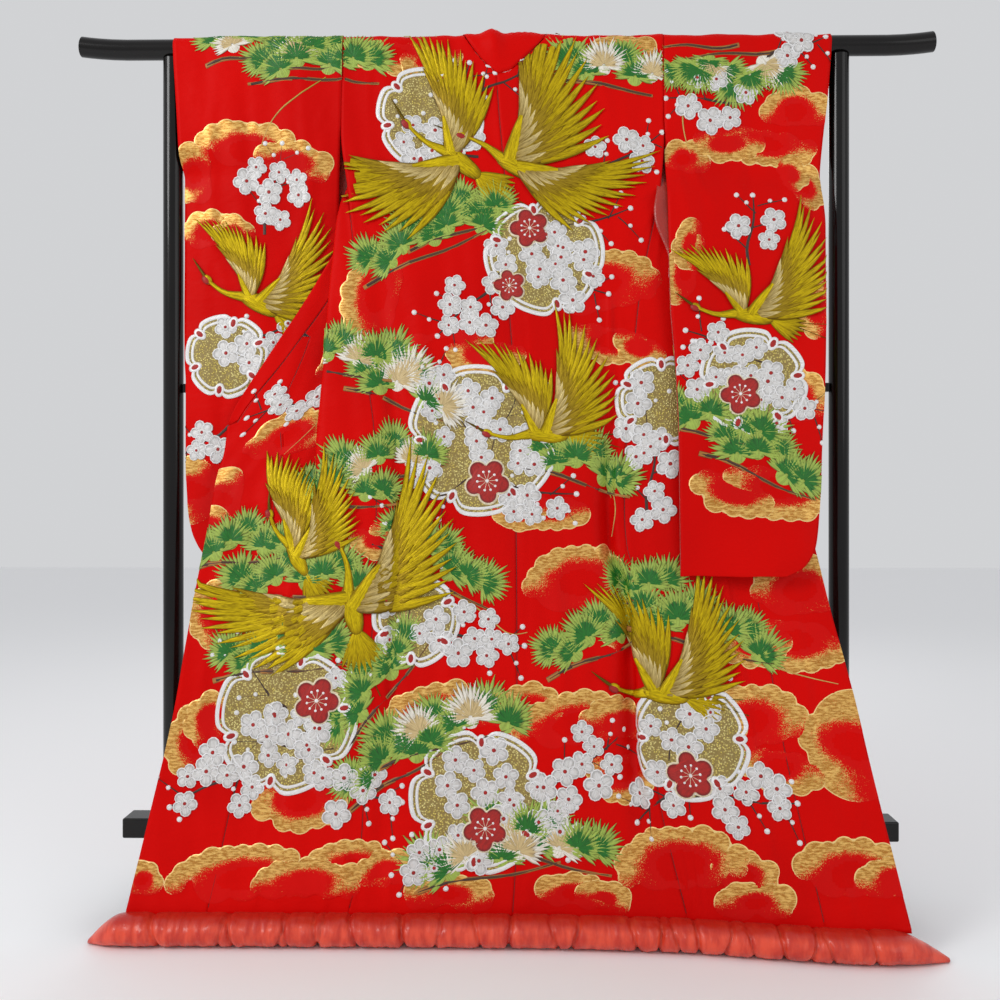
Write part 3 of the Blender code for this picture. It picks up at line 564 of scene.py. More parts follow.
def front_face(side, back):
    """The front from the side seam through its fold to the front edge, with where its seams run."""
    starts, ends, net, seams = [], [], [], []
    for v, seam in zip(BODY_V, back.ends):
        z = min(v, BAR_Z)
        curve = front_section(side, z)
        length = along(curve)
        whole = length[-1]
        want = np.linspace(0.0, whole, FRONT_COUNT)
        x = np.interp(want, length, curve[:, 0])
        y = np.interp(want, length, curve[:, 1])
        if v > BAR_Z:
            net.append([over_rear(at, ARC + BAR_Z - v) for at in x])
        else:
            net.append([(a, b, z) for a, b in zip(x, y)])
        collar = table(z, COLLAR_WIDE) if z >= COLLAR_END_Z - 1e-6 else 0.0
        overlap = table(z, OKUMI_WIDE) if z <= OKUMI_TOP_Z + 1e-6 else 0.0
        sign = SIGN[side]
        starts.append(seam)
        ends.append(seam + sign * whole)
        seams.append((seam + sign * (whole - collar - overlap), seam + sign * (whole - collar)))
    panel = Panel(BODY_V, starts, ends, net, SIGN[side])
    panel.covered = np.zeros((len(BODY_V), FRONT_COUNT), bool)
    for v, row, hidden in zip(BODY_V, panel.points, panel.covered):
        out = np.abs(row[:, 0])
        turn = int(np.argmax(np.diff(out) < 0)) if (np.diff(out) < 0).any() else 0
        if turn and v < FOLD_SEEN_FROM:
            back_out = turn + int(np.argmax(out[turn + 1:] > out[turn])) + 1
            hidden[turn + 2:back_out] = True
    return panel, np.array(seams)


def sleeve_face(side):
    """The sleeve's strip: up its near layer, over the bar, and down its far layer."""
    end = SLEEVE_END_Z[side]
    shares = np.linspace(0, 1, SLEEVE_COUNT)
    low = [end + up for up in (0.0, 0.001, 0.003, 0.007, 0.013, 0.02)]
    levels = low + spread(end + 0.028, BAR_Z, 0.0085)
    heights = list(levels)
    net = [sleeve_row(side, z, False, shares) for z in levels]
    ends = net[-1]
    for i in range(1, 12):
        turn = math.pi * i / 12
        net.append([(x, y * math.cos(turn), BAR_Z - y * math.sin(turn)) for x, y, _ in ends])
        heights.append(BAR_Z + 2 * ARC * i / 12)
    for z in levels[::-1]:
        net.append(sleeve_row(side, z, True, shares))
        heights.append(2 * BAR_Z + 2 * ARC - z)
    starts = [row[0][0] for row in net]
    stops = [row[-1][0] for row in net]
    return Panel(heights, starts, stops, net, SIGN[side])


backs, fronts, seams, sleeves = {}, {}, {}, {}
for side in SIGN:
    backs[side] = back_face(side)
    fronts[side], seams[side] = front_face(side, backs[side])
    sleeves[side] = sleeve_face(side)
    backs[side].raise_face(BODY_FOLDS, BODY_WAVES)
    fronts[side].raise_face(BODY_FOLDS, BODY_WAVES)
    sleeves[side].raise_face(SLEEVE_FOLDS[side], SLEEVE_WAVES)

FACES = {
    "body": Face([backs["left"], backs["right"], fronts["left"], fronts["right"]]),
    "sleeve_left": Face([sleeves["left"]]),
    "sleeve_right": Face([sleeves["right"]]),
}


class Value:
    """A shader number that adds its Math nodes as it is reckoned with."""

    def __init__(self, finish, socket):
        self.finish = finish
        self.socket = socket

    def reckon(self, operation, *values):
        return self.finish.node("ShaderNodeMath", {"operation": operation}, dict(enumerate(values)))

    def __add__(self, other):
        return self.reckon("ADD", self, other)

    def __sub__(self, other):
        return self.reckon("SUBTRACT", self, other)

    def __rsub__(self, other):
        return self.reckon("SUBTRACT", other, self)

    def __mul__(self, other):
        return self.reckon("MULTIPLY", self, other)

    __radd__ = __add__
    __rmul__ = __mul__

    def ramp(self, low, high):
        """0 below low, 1 above high, and soft between."""
        return self.finish.node("ShaderNodeMapRange", {"interpolation_type": "SMOOTHSTEP"},
                                {"Value": self, "From Min": low, "From Max": high})


class Finish:
    """A material and the one way of adding nodes to it."""

    def __init__(self, name, **constants):
        self.material = bpy.data.materials.new(name)
        self.material.use_nodes = True
        self.tree = self.material.node_tree
        self.shader = self.tree.nodes["Principled BSDF"]
        for key, value in constants.items():
            self.shader.inputs[key.replace("_", " ")].default_value = value

    def node(self, kind, settings=None, values=None, output=0):
        made = self.tree.nodes.new(kind)
        for key, value in (settings or {}).items():
            setattr(made, key, value)
        for key, value in (values or {}).items():
            self.link(value, made.inputs[key])
        return Value(self, made.outputs[output])

    def link(self, value, socket):
        if isinstance(value, Value):
            self.tree.links.new(value.socket, socket)
        else:
            socket.default_value = value

    def place(self):
        return self.node("ShaderNodeTexCoord", output="Object")

    def stretched(self, vector, scale):
        return self.node("ShaderNodeMapping", None, {"Vector": vector, "Scale": scale})

    def noise(self, vector, scale, detail=2.0):
        return self.node("ShaderNodeTexNoise", None, {"Vector": vector, "Scale": scale, "Detail": detail})

    def attribute(self, name, output="Fac"):
        return self.node("ShaderNodeAttribute", {"attribute_name": name}, output=output)

    def part(self, vector, axis):
        return self.node("ShaderNodeSeparateXYZ", None, {"Vector": vector}, output=axis)

    def mix(self, share, a, b, way="MIX"):
        """Mixes two colours, by the sockets' order because a Mix node repeats their names."""
        return self.node("ShaderNodeMix", {"data_type": "RGBA", "blend_type": way},
                         {0: share, 6: a, 7: b}, output=2)

    def bump(self, height, strength, distance, normal=None):
        values = {"Height": height, "Strength": strength, "Distance": distance}
        if normal is not None:
            values["Normal"] = normal
        return self.node("ShaderNodeBump", None, values)

    def set(self, **links):
        for key, value in links.items():
            self.link(value, self.shader.inputs[key.replace("_", " ")])
        return self.material


# Colours of the finishes
RED = (0.66, 0.002, 0.001, 1.0)
RED_DEEP = (0.56, 0.0015, 0.001, 1.0)
GOLD = (0.46, 0.19, 0.03, 1.0)
GOLD_LIGHT = (0.82, 0.5, 0.14, 1.0)
GOLD_GLINT = (0.93, 0.68, 0.26, 1.0)
GOLD_LINE = (0.88, 0.64, 0.26, 1.0)
# Lit and shaded copies of the hem roll's satin: painted light and shade of its crush
SATIN_PAINTED_LIT = (0.82, 0.078, 0.034, 1.0)
SATIN_PAINTED_SHADE = (0.56, 0.026, 0.012, 1.0)
# Painted shade along the hem roll's top, where it meets the red cloth
SATIN_PAINTED_RIM_SHADE = (0.48, 0.012, 0.006, 1.0)
SATIN_SHEEN = (1.0, 0.62, 0.5, 1.0)
# Lit and shaded copies of the lining's satin: painted light and shade of its crush
LINING_PAINTED_LIT = (0.42, 0.03, 0.018, 1.0)
LINING_PAINTED_SHADE = (0.36, 0.022, 0.014, 1.0)
STITCH_SHADE = (0.3, 0.25, 0.16, 1.0)
# Painted shade in the gaps between the gold knots
KNOT_GAP_SHADE = (0.26, 0.18, 0.04, 1.0)
KNOT_DARK = (0.76, 0.6, 0.13, 1.0)
KNOT_LIGHT = (0.9, 0.78, 0.3, 1.0)
LACQUER_DARK = (0.0022, 0.0016, 0.0015, 1.0)
LACQUER_LIGHT = (0.0044, 0.0032, 0.0028, 1.0)
# Heights over which the painted shade along the roll's top sets in
RIM_SHADE_Z = (0.038, 0.051)


def silk_colour(finish, place):
    """The red ground's colour, uneven by a little over hand widths."""
    return finish.mix(finish.noise(place, 3.0).ramp(0.35, 0.75), RED, RED_DEEP)


def silk_weave(finish, place):
    """Fine crosswise ribs of the silk."""
    ribs = finish.noise(finish.stretched(place, (260.0, 260.0, 1500.0)), 1.0, 1.0)
    slub = finish.noise(finish.stretched(place, (60.0, 60.0, 900.0)), 1.0, 2.0)
    return ribs * 0.6 + slub * 0.4


def red_silk():
    """The robe's red silk: woven ribs over soft creases."""
    finish = Finish("red_silk", Specular_IOR_Level=0.05)
    place = finish.place()
    weave = silk_weave(finish, place)
    creases = finish.noise(finish.stretched(place, (7.0, 7.0, 12.0)), 1.0, 4.0)
    return finish.set(Base_Color=silk_colour(finish, place), Roughness=weave * 0.16 + 0.42,
                      Normal=finish.bump(weave, 0.25, 0.0006, finish.bump(creases, 0.5, 0.014)))


def coral_satin(name, ribs, light, dark, rim=0.0):
    """Crushed satin with fine crosswise yarns. Its colour is painted light and shade, lit and shaded with
    the crush that also bumps it, and painted shade by the rim's share near its top, where it meets the
    cloth.
    """
    finish = Finish(name, Sheen_Weight=0.04, Sheen_Roughness=0.35, Sheen_Tint=SATIN_SHEEN,
                    Specular_IOR_Level=0.35, Coat_Weight=0.25, Coat_Roughness=0.16)
    place = finish.place()
    crush = finish.noise(finish.stretched(place, (70.0, 16.0, 22.0)), 1.0, 3.0)
    yarn = finish.noise(finish.stretched(place, (300.0, 1400.0, 1400.0)), 1.0, 1.0)
    # Painted light and shade: the colour goes from the lit copy to the shaded one with the crush noise that
    # also bumps the satin
    cloth = finish.mix(crush.ramp(0.3, 0.72), light, dark)
    # Painted shade darkens the roll's top, where it meets the cloth, by the rim's share
    cloth = finish.mix(finish.part(place, "Z").ramp(*RIM_SHADE_Z) * rim, cloth, SATIN_PAINTED_RIM_SHADE)
    height = crush * ribs + yarn * 0.15
    return finish.set(Base_Color=cloth, Roughness=crush * 0.16 + 0.16,
                      Normal=finish.bump(height, 0.8, 0.0034))


def gold_leaf():
    """Gold leaf rubbed thin towards the inside of a cloud, where the red ground comes through."""
    finish = Finish("gold_leaf", Specular_IOR_Level=0.1)
    place = finish.place()
    worn = finish.attribute("thread", "Vector")
    depth = finish.part(worn, "X")
    gold = finish.part(worn, "Y")
    speck = finish.noise(place, 620.0, 2.0)
    patch = finish.noise(place, 45.0, 3.0)
    mask = (gold + speck * 1.7 + patch * 0.6 - 1.62).ramp(0.0, 0.26)
    crackle = finish.noise(finish.stretched(place, (90.0, 90.0, 320.0)), 1.0, 3.0)
    tone = finish.mix(crackle.ramp(0.38, 0.66), GOLD, GOLD_LIGHT)
    glint = finish.noise(place, 1100.0, 1.0).ramp(0.56, 0.7)
    tone = finish.mix(glint * 0.7, tone, GOLD_GLINT)
    line = (1 - depth.ramp(0.0014, 0.0024)) * gold.ramp(0.1, 0.3)
    tone = finish.mix(line, tone, GOLD_LINE)
    weave = silk_weave(finish, place)
    return finish.set(Base_Color=finish.mix(mask, silk_colour(finish, place), tone),
                      Metallic=mask * 0.55, Roughness=0.5 - mask * 0.08,
                      Normal=finish.bump(weave + crackle * mask * 0.8, 0.3, 0.0007))


def needlework(name, metal, rough, painted_streak_shade, **constants):
    """Satin stitch: the tint's colour, threads along the stitch with painted shade between them, and
    painted shade as a dark line at a stitched edge.
    """
    finish = Finish(name, **constants)
    tint = finish.attribute("tint", "Color")
    thread = finish.attribute("thread", "Vector")
    edge = finish.part(thread, "Z")
    strands = finish.noise(finish.stretched(thread, (90.0, 950.0, 0.0)), 1.0, 2.0)
    bands = finish.noise(finish.stretched(thread, (25.0, 320.0, 0.0)), 1.0, 2.0)
    # The tint in painted shade, for the grooves between threads and the stitched edge
    dark = finish.mix(1.0, tint, STITCH_SHADE, "MULTIPLY")
    shade = (strands * 0.5 + bands * 0.5).ramp(0.3, 0.62)
    # Painted shade between the threads, where the bump of the strands is low
    body = finish.mix(1 - (1 - shade) * painted_streak_shade, dark, tint)
    # Painted shade as a dark line along a stitched edge
    colour = finish.mix(edge.ramp(0.5, 0.92), body, dark)
    return finish.set(Base_Color=colour, Roughness=bands * 0.15 + rough, Metallic=metal,
                      Normal=finish.bump(strands * 0.5 + bands * 0.5, 0.75, 0.0014))


def bead_work():
    """Tight knots of gold thread with painted shade in the gaps between them."""
    finish = Finish("gold_knots", Specular_IOR_Level=0.6)
    place = finish.place()
    knots = finish.node("ShaderNodeTexVoronoi", {"feature": "F1"}, {"Vector": place, "Scale": 240.0},
                        output="Distance")
    patch = finish.noise(place, 60.0, 2.0)
    dome = 1 - knots.ramp(0.1, 0.62)
    lit = finish.mix(patch.ramp(0.35, 0.65), KNOT_DARK, KNOT_LIGHT)
    # The gaps between the knots' domes are painted shade
    return finish.set(Base_Color=finish.mix(dome, KNOT_GAP_SHADE, lit),
                      Metallic=dome * 0.55, Roughness=0.55 - dome * 0.2,
                      Normal=finish.bump(dome, 0.9, 0.0016))


def black_lacquer():
    """Polished black lacquer with a slow ripple and a little dust."""
    finish = Finish("black_lacquer", Coat_Roughness=0.08, Specular_IOR_Level=0.16)
    place = finish.place()
    cloud = finish.noise(place, 7.0, 3.0)
    ripple = finish.noise(place, 60.0, 2.0)
    dust = finish.noise(place, 900.0, 1.0).ramp(0.66, 0.74)
    colour = finish.mix(cloud.ramp(0.3, 0.8), LACQUER_DARK, LACQUER_LIGHT)
    return finish.set(Base_Color=colour, Roughness=cloud * 0.12 + dust * 0.1 + 0.16,
                      Coat_Weight=0.3 - dust * 0.2, Normal=finish.bump(ripple, 0.04, 0.001))


RED_SILK = red_silk()
LINING = coral_satin("coral_lining", 0.25, LINING_PAINTED_LIT, LINING_PAINTED_SHADE)
SATIN = coral_satin("coral_satin", 1.0, SATIN_PAINTED_LIT, SATIN_PAINTED_SHADE, 0.85)
LACQUER = black_lacquer()
GOLD_LEAF = gold_leaf()
GOLD_THREAD = needlework("gold_thread", 0.45, 0.34, 0.9, Specular_IOR_Level=0.15)
SILVER_THREAD = needlework("silver_thread", 0.15, 0.34, 0.45, Specular_IOR_Level=0.6)
SILK_FLOSS = needlework("silk_floss", 0.0, 0.4, 0.6, Specular_IOR_Level=0.45)
KNOTS = bead_work()


def settled(name, mesh, smooth_faces=True):
    """Turns a bmesh into mesh data."""
    data = bpy.data.meshes.new(name)
    mesh.to_mesh(data)
    mesh.free()
    if smooth_faces:
        data.polygons.foreach_set("use_smooth", [True] * len(data.polygons))
    return data


def shown(data, materials):
    """Makes mesh data a piece that rides on the stand and takes a slot's finish."""
    piece = put(data.name, data)
    for material in materials:
        data.materials.append(material)
    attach(piece, "root")
    return piece


def shift(points):
    """From the bar's own line to the part's frame."""
    return np.asarray(points) + np.array([0.0, SHIFT_Y, 0.0])


def cloth_piece(node, rows, sign, rests_on):
    """A lined shell in a panel's place, on rows of outer face points."""
    net = shift(rows)
    count, across, _ = net.shape
    mesh = bmesh.new()
    made = bmesh.ops.create_grid(mesh, x_segments=across - 1, y_segments=count - 1, size=0.5)
    for vert in made["verts"]:
        column = round((vert.co.x + 0.5) * (across - 1))
        row = round((vert.co.y + 0.5) * (count - 1))
        vert.co = net[row, column]
    if sign < 0:
        bmesh.ops.reverse_faces(mesh, faces=mesh.faces)
    bmesh.ops.remove_doubles(mesh, verts=mesh.verts, dist=0.00015)
    piece = shown(settled(node + "_cloth", mesh), [RED_SILK, LINING])
    wall = piece.modifiers.new("lined_wall", "SOLIDIFY")
    wall.thickness = SHELL
    wall.offset = -1.0
    wall.material_offset = 1
    wall.material_offset_rim = 0
    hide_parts(node)


def panel_rows(panel, starts, ends, columns, top=math.inf):
    """Rows of points between two seams of a panel, at the panel's own heights up to its top."""
    return [panel.place(np.linspace(start, end, columns), np.full(columns, v))[0]
            for v, start, end in zip(panel.heights, starts, ends) if v <= top]


for side in SIGN:
    back, front, sign = backs[side], fronts[side], SIGN[side]
    overlap_seam, collar_seam = seams[side].T
    cloth_piece("back_" + side, back.points, sign, ["top_bar", "fuki"])
    cloth_piece("front_" + side, panel_rows(front, front.starts, overlap_seam, FRONT_ACROSS), sign,
                ["top_bar", "fuki"])
    cloth_piece("okumi_" + side, panel_rows(front, overlap_seam, collar_seam, OKUMI_ACROSS, OKUMI_TOP_Z),
                sign, ["front_" + side, "fuki"])
    cloth_piece("sleeve_" + side, sleeves[side].points, sign, ["top_bar"])


def collar_side(side):
    """Rows of the collar band from its lower end up to the bar's far side."""
    rows = []
    front = fronts[side]
    for z in spread(COLLAR_END_Z + 0.001, BAR_Z, 0.012):
        start = np.interp(z, front.heights, seams[side][:, 1]) + SIGN[side] * 2 * SEAM
        end = np.interp(z, front.heights, front.ends)
        rows.append(front.place(np.linspace(start, end, COLLAR_ACROSS), np.full(COLLAR_ACROSS, z))[0])
    return rows


def collar_band():
    """One band up the left front edge, over the bar round the neck, and down the right front edge."""
    over = [(-NECK_POINT, 0.026), (-NECK_POINT, 0.013)]
    seam = over + [(x, -drop) for x, drop in NECK_DROP] + [(-x, w) for x, w in over[::-1]]
    last = len(seam) - 1
    free = [(-0.03 + 0.06 * i / last, 0.037 + 0.008 * math.sin(math.pi * i / last))
            for i in range(last + 1)]
    steps = np.linspace(0, last, 3 * last + 1)
    seam, free = (np.array([np.interp(steps, range(last + 1), values) for values in zip(*line)]).T
                  for line in (seam, free))
    rows = []
    for (sx, sw), (fx, fw) in zip(seam, free):
        lift = 0.0025 + 0.0065 * math.exp(-((sx + 0.035) / 0.03) ** 2)
        row = []
        for share in np.linspace(0, 1, COLLAR_ACROSS):
            x = blend(sx, fx, share)
            w = blend(sw, fw, share)
            w += 1.5 * SEAM if share == 0.0 and w < 0 else 0.0
            x -= math.copysign(SEAM, x) if share == 0.0 and w > -0.013 else 0.0
            up = WALL / 2 + lift * math.sin(math.pi * share)
            up += 0.003 * math.sin(9.0 * share + 55.0 * sx) * math.sin(math.pi * share)
            at = over_rear(x, w, COLLAR_LIFT) if w >= 0 else over_front(x, -w, COLLAR_LIFT)
            reach = max(math.hypot(at[1], at[2] - BAR_Z), 1e-6)
            row.append((x, at[1] + up * at[1] / reach, at[2] + up * (at[2] - BAR_Z) / reach))
        rows.append(row)
    return collar_side("left") + rows + collar_side("right")[::-1]


cloth_piece("collar", collar_band(), -1, ["top_bar"])


def roll_ring(x):
    """Middle line and end taper of the hem's roll at X."""
    left, right = ROLL_X
    ends = min(1.0, 0.14 + 0.86 * math.sin(min((x - left) / 0.066, 1.0) * math.pi / 2),
               0.14 + 0.86 * math.sin(min((right - x) / 0.11, 1.0) * math.pi / 2))
    return table(x, ROLL_LINE), ends


# Stitched pinches along the hem's roll: X, half width, depth, lean
PINCHES = [(-0.632, 0.008, 0.005, 0.3), (-0.512, 0.007, 0.004, -0.2), (-0.494, 0.006, 0.005, 0.2),
           (-0.402, 0.006, 0.004, -0.3), (-0.395, 0.005, 0.003, 0.2), (-0.34, 0.007, 0.0045, 0.1),
           (-0.33, 0.005, 0.003, -0.2), (-0.272, 0.008, 0.005, 0.3), (-0.182, 0.009, 0.0065, 0.1),
           (-0.118, 0.006, 0.004, -0.2), (-0.046, 0.007, 0.004, 0.2), (0.012, 0.008, 0.0055, -0.1),
           (0.092, 0.007, 0.004, 0.3), (0.13, 0.007, 0.005, -0.3), (0.236, 0.008, 0.005, 0.2),
           (0.282, 0.007, 0.006, -0.1), (0.31, 0.006, 0.004, 0.3), (0.348, 0.008, 0.0055, 0.1),
           (0.4, 0.006, 0.0045, -0.3), (0.44, 0.006, 0.004, 0.2), (0.494, 0.008, 0.0055, 0.1),
           (0.546, 0.007, 0.005, -0.2), (0.572, 0.006, 0.0035, 0.3), (0.65, 0.008, 0.005, 0.1)]
ROLL_NET = (520, 36)
# The roll's mean radius, and how far round it from its rear the stitches sit
ROLL_ROUND = 0.033
STITCH_TURN = 0.66 * math.pi
# Ripples all along it: height, waves, how much and how slowly they drift, and slant round the roll
ROLL_RIPPLES = [(0.0006, 150, 3, 23, 2.0), (0.0005, 330, 5, 31, -1.5)]


def hem_roll():
    """The padded roll: rings along the hem, pulled in at the stitches and flat on the floor."""
    left, right = ROLL_X
    rings, around = ROLL_NET
    mesh = bmesh.new()
    made = bmesh.ops.create_grid(mesh, x_segments=rings - 1, y_segments=around, size=0.5)
    pinch_x, wide, deep, lean = np.array(PINCHES).T
    for vert in made["verts"]:
        k = vert.co.x + 0.5
        x = blend(left, right, k)
        turn = 2 * math.pi * (vert.co.y + 0.5)
        y0, ends = roll_ring(x)
        top = math.sin(turn)
        shown_side = 0.55 - 0.45 * math.cos(turn)
        near = x + 0.03 * lean * top - pinch_x
        # The roll is pulled in at a pinch and swells at both its sides
        pull = float(np.sum(1.7 * deep * np.exp(-(near / (0.5 * wide)) ** 2)))
        swell = float(np.sum(0.15 * deep * np.exp(-((np.abs(near) - 2.4 * wide) / (1.6 * wide)) ** 2)))
        # Wrinkles run out from each stitch, as seen on the roll's skin laid flat
        below = ROLL_ROUND * (turn - STITCH_TURN)
        far, bearing = np.hypot(near, below), np.arctan2(near, below)
        ripple = float(np.sum(0.42 * deep * np.exp(-far / 0.024) * np.sin(9 * bearing + 40 * pinch_x)))
        for high, fine, sway, slow, slant in ROLL_RIPPLES:
            ripple += high * math.sin(fine * x + sway * math.sin(slow * x) + slant * turn)
        out = (swell - pull + ripple) * shown_side * ends
        y = (ROLL_HALF_Y + out) * ends * math.cos(turn)
        z = (ROLL_Z + (ROLL_HALF_Z + out) * top) * ends
        vert.co = (x, y0 + y + SHIFT_Y, max(z, 0.0))
    bmesh.ops.remove_doubles(mesh, verts=mesh.verts, dist=0.00005)
    rims = [edge for edge in mesh.edges if edge.is_boundary]
    bmesh.ops.holes_fill(mesh, edges=rims, sides=0)
    bmesh.ops.recalc_face_normals(mesh, faces=mesh.faces)
    piece = shown(settled("fuki_padded", mesh), [SATIN])
    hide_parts("fuki")


hem_roll()


ROD_SIDES = 48


def lacquered(node, mesh, smooth_faces=True):
    """Turns a bmesh on the bar's own line into the lacquered piece in a node's place."""
    bmesh.ops.translate(mesh, vec=(0.0, SHIFT_Y, 0.0), verts=mesh.verts)
    piece = shown(settled(node + "_lacquered", mesh, smooth_faces), [LACQUER])
    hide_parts(node)


def rod(node, stations, rounded):
    """A round bar or post through stations of centre, radius and direction."""
    mesh = bmesh.new()
    made = bmesh.ops.create_circle(mesh, segments=ROD_SIDES, radius=1.0)
    loop = made["verts"]
    offsets = [Vector(vert.co) for vert in loop]
    rims = []
    for index, (centre, radius, direction) in enumerate(stations):
        if index:
            edges = [e for e in mesh.edges if e.verts[0] in set(loop) and e.verts[1] in set(loop)]
            grown = bmesh.ops.extrude_edge_only(mesh, edges=edges)
            fresh = [g for g in grown["geom"] if isinstance(g, bmesh.types.BMVert)]
            order = {}
            for vert in fresh:
                order[min(range(ROD_SIDES), key=lambda i: (loop[i].co - vert.co).length)] = vert
            loop = [order[i] for i in range(ROD_SIDES)]
        turned = Vector((0.0, 0.0, 1.0)).rotation_difference(Vector(direction))
        for vert, offset in zip(loop, offsets):
            vert.co = Vector(centre) + turned @ (offset * radius)
        if index in (0, len(stations) - 1):
            rims.append(list(loop))
    for rim in rims:
        mesh.faces.new(rim)
    sharp = [e for e in mesh.edges if any(len(f.verts) > 4 for f in e.link_faces)]
    bmesh.ops.bevel(mesh, geom=sharp, offset=rounded, segments=4, profile=0.5, affect="EDGES",
                    material=-1)
    bmesh.ops.recalc_face_normals(mesh, faces=mesh.faces)
    lacquered(node, mesh)


def top_bar():
    """The bar, whose ends rise a little."""
    stations = []
    for x in [-x for x in BAR_STATIONS[::-1]] + [0.0] + BAR_STATIONS:
        past = max(0.0, abs(x) - BAR_RISES_FROM) / BAR_END
        slope = math.copysign(BAR_SLOPE * past, x)
        stations.append(((x, 0.0, BAR_Z + BAR_RISE * past ** 2), BAR_R, (1.0, 0.0, slope)))
    rod("top_bar", stations, 0.0035)


def post(side, x):
    """A round post from the base rail to the bar."""
    low = RAIL_Z[1] + JOINT_GAP
    high = BAR_Z - BAR_R - JOINT_GAP
    stations = [((x, 0.0, z), POST_R, (0.0, 0.0, 1.0)) for z in np.linspace(low, high, 9)]
    rod("post_" + side, stations, 0.001)


def rail(node, low, high, rounded):
    """A straight rail between two corners of its box."""
    mesh = bmesh.new()
    bmesh.ops.create_cube(mesh, size=1.0)
    bmesh.ops.scale(mesh, vec=[b - a for a, b in zip(low, high)], verts=mesh.verts)
    bmesh.ops.translate(mesh, vec=[(a + b) / 2 for a, b in zip(low, high)], verts=mesh.verts)
    bmesh.ops.bevel(mesh, geom=mesh.edges[:], offset=rounded, segments=5, profile=0.5,
                    affect="EDGES", material=-1)
    lacquered(node, mesh, smooth_faces=False)


def foot(side, x):
    """A long foot whose ends curve down, hollowed a little underneath, with soft edges."""
    top = RAIL_Z[0] - JOINT_GAP
    half = [(0.05, top), (0.085, top - 0.004), (0.112, top - 0.016), (0.134, top - 0.036),
            (0.152, top - 0.064), (0.164, top - 0.096), (FOOT_HALF_Y, 0.012), (FOOT_HALF_Y, 0.0),
            (0.1, 0.0), (0.088, 0.012), (0.07, 0.018)]
    outline = half + [(-y, z) for y, z in half[::-1]]
    mesh = bmesh.new()
    face = mesh.faces.new([mesh.verts.new((x - FOOT_HALF_X, y, z)) for y, z in outline])
    grown = bmesh.ops.extrude_face_region(mesh, geom=[face])
    moved = [g for g in grown["geom"] if isinstance(g, bmesh.types.BMVert)]
    bmesh.ops.translate(mesh, vec=(2 * FOOT_HALF_X, 0, 0), verts=moved)
    rim = [e for e in mesh.edges if abs(e.verts[0].co.x - e.verts[1].co.x) < 1e-6]
    bmesh.ops.bevel(mesh, geom=rim, offset=0.003, segments=4, profile=0.5, affect="EDGES", material=-1)
    bmesh.ops.recalc_face_normals(mesh, faces=mesh.faces)
    lacquered("foot_" + side, mesh, smooth_faces=False)


top_bar()
post("left", POST_X[0])
post("right", POST_X[1])
rail("mid_rail", (POST_X[0] + POST_R + JOINT_GAP, -MID_RAIL_HALF_Y, MID_RAIL_Z[0]),
     (POST_X[1] - POST_R - JOINT_GAP, MID_RAIL_HALF_Y, MID_RAIL_Z[1]), 0.002)
rail("base_rail", (RAIL_X[0], -RAIL_HALF_Y, RAIL_Z[0]), (RAIL_X[1], RAIL_HALF_Y, RAIL_Z[1]), 0.004)
foot("left", POST_X[0])
foot("right", POST_X[1])


def form_of(mesh):
    """Points and triangles of a flat form, which is made once and used many times."""
    bmesh.ops.triangulate(mesh, faces=mesh.faces[:])
    mesh.verts.index_update()
    points = np.array([vert.co[:2] for vert in mesh.verts])
    corners = np.array([[vert.index for vert in face.verts] for face in mesh.faces])
    mesh.free()
    return points, corners


def strip_form(rows, columns):
    """A strip with X from 0 to 1 along it and Y from -1 to 1 across it."""
    mesh = bmesh.new()
    bmesh.ops.create_grid(mesh, x_segments=rows, y_segments=columns, size=1.0)
    bmesh.ops.scale(mesh, vec=(0.5, 1.0, 1.0), verts=mesh.verts)
    bmesh.ops.translate(mesh, vec=(0.5, 0.0, 0.0), verts=mesh.verts)
    return form_of(mesh)


def disc_form(segments, radii):
    """A disc of radius 1 with a ring of points at each of these radii."""
    mesh = bmesh.new()
    bmesh.ops.create_circle(mesh, cap_ends=True, segments=segments, radius=1.0)
    middle = mesh.faces[:]
    for outer, inner in zip([1.0] + radii, radii):
        bmesh.ops.inset_region(mesh, faces=middle, use_boundary=True, use_even_offset=True,
                               thickness=(outer - inner) * math.cos(math.pi / segments))
    bmesh.ops.poke(mesh, faces=middle)
    return form_of(mesh)


# Forms that the motifs are made of
NEEDLE = strip_form(3, 2)
FEATHER = strip_form(8, 4)
TWIG = strip_form(9, 2)
LOOP = strip_form(108, 4)
SEAM_STRIP = strip_form(220, 2)
PETAL = disc_form(10, [0.96, 0.87, 0.76, 0.4])
EYE = disc_form(8, [0.9, 0.6])
BLOOM = disc_form(18, [0.9, 0.86, 0.78, 0.52])
DOT = disc_form(8, [0.6])
DOME = disc_form(20, [0.85, 0.6, 0.3])
# One run of draws sets every chance turn and size, so the order of the motifs matters
draws = np.random.default_rng(23)


class Spot:
    """A place on a face of cloth where a motif is drawn, with its turn."""

    def __init__(self, face, u=0.0, v=0.0, turn=0.0):
        self.face, self.u, self.v = face, u, v
        self.turn = math.radians(turn)

    def on_cloth(self, plan):
        x, y = plan.T
        c, s = math.cos(self.turn), math.sin(self.turn)
        return self.u + x * c - y * s, self.v + x * s + y * c


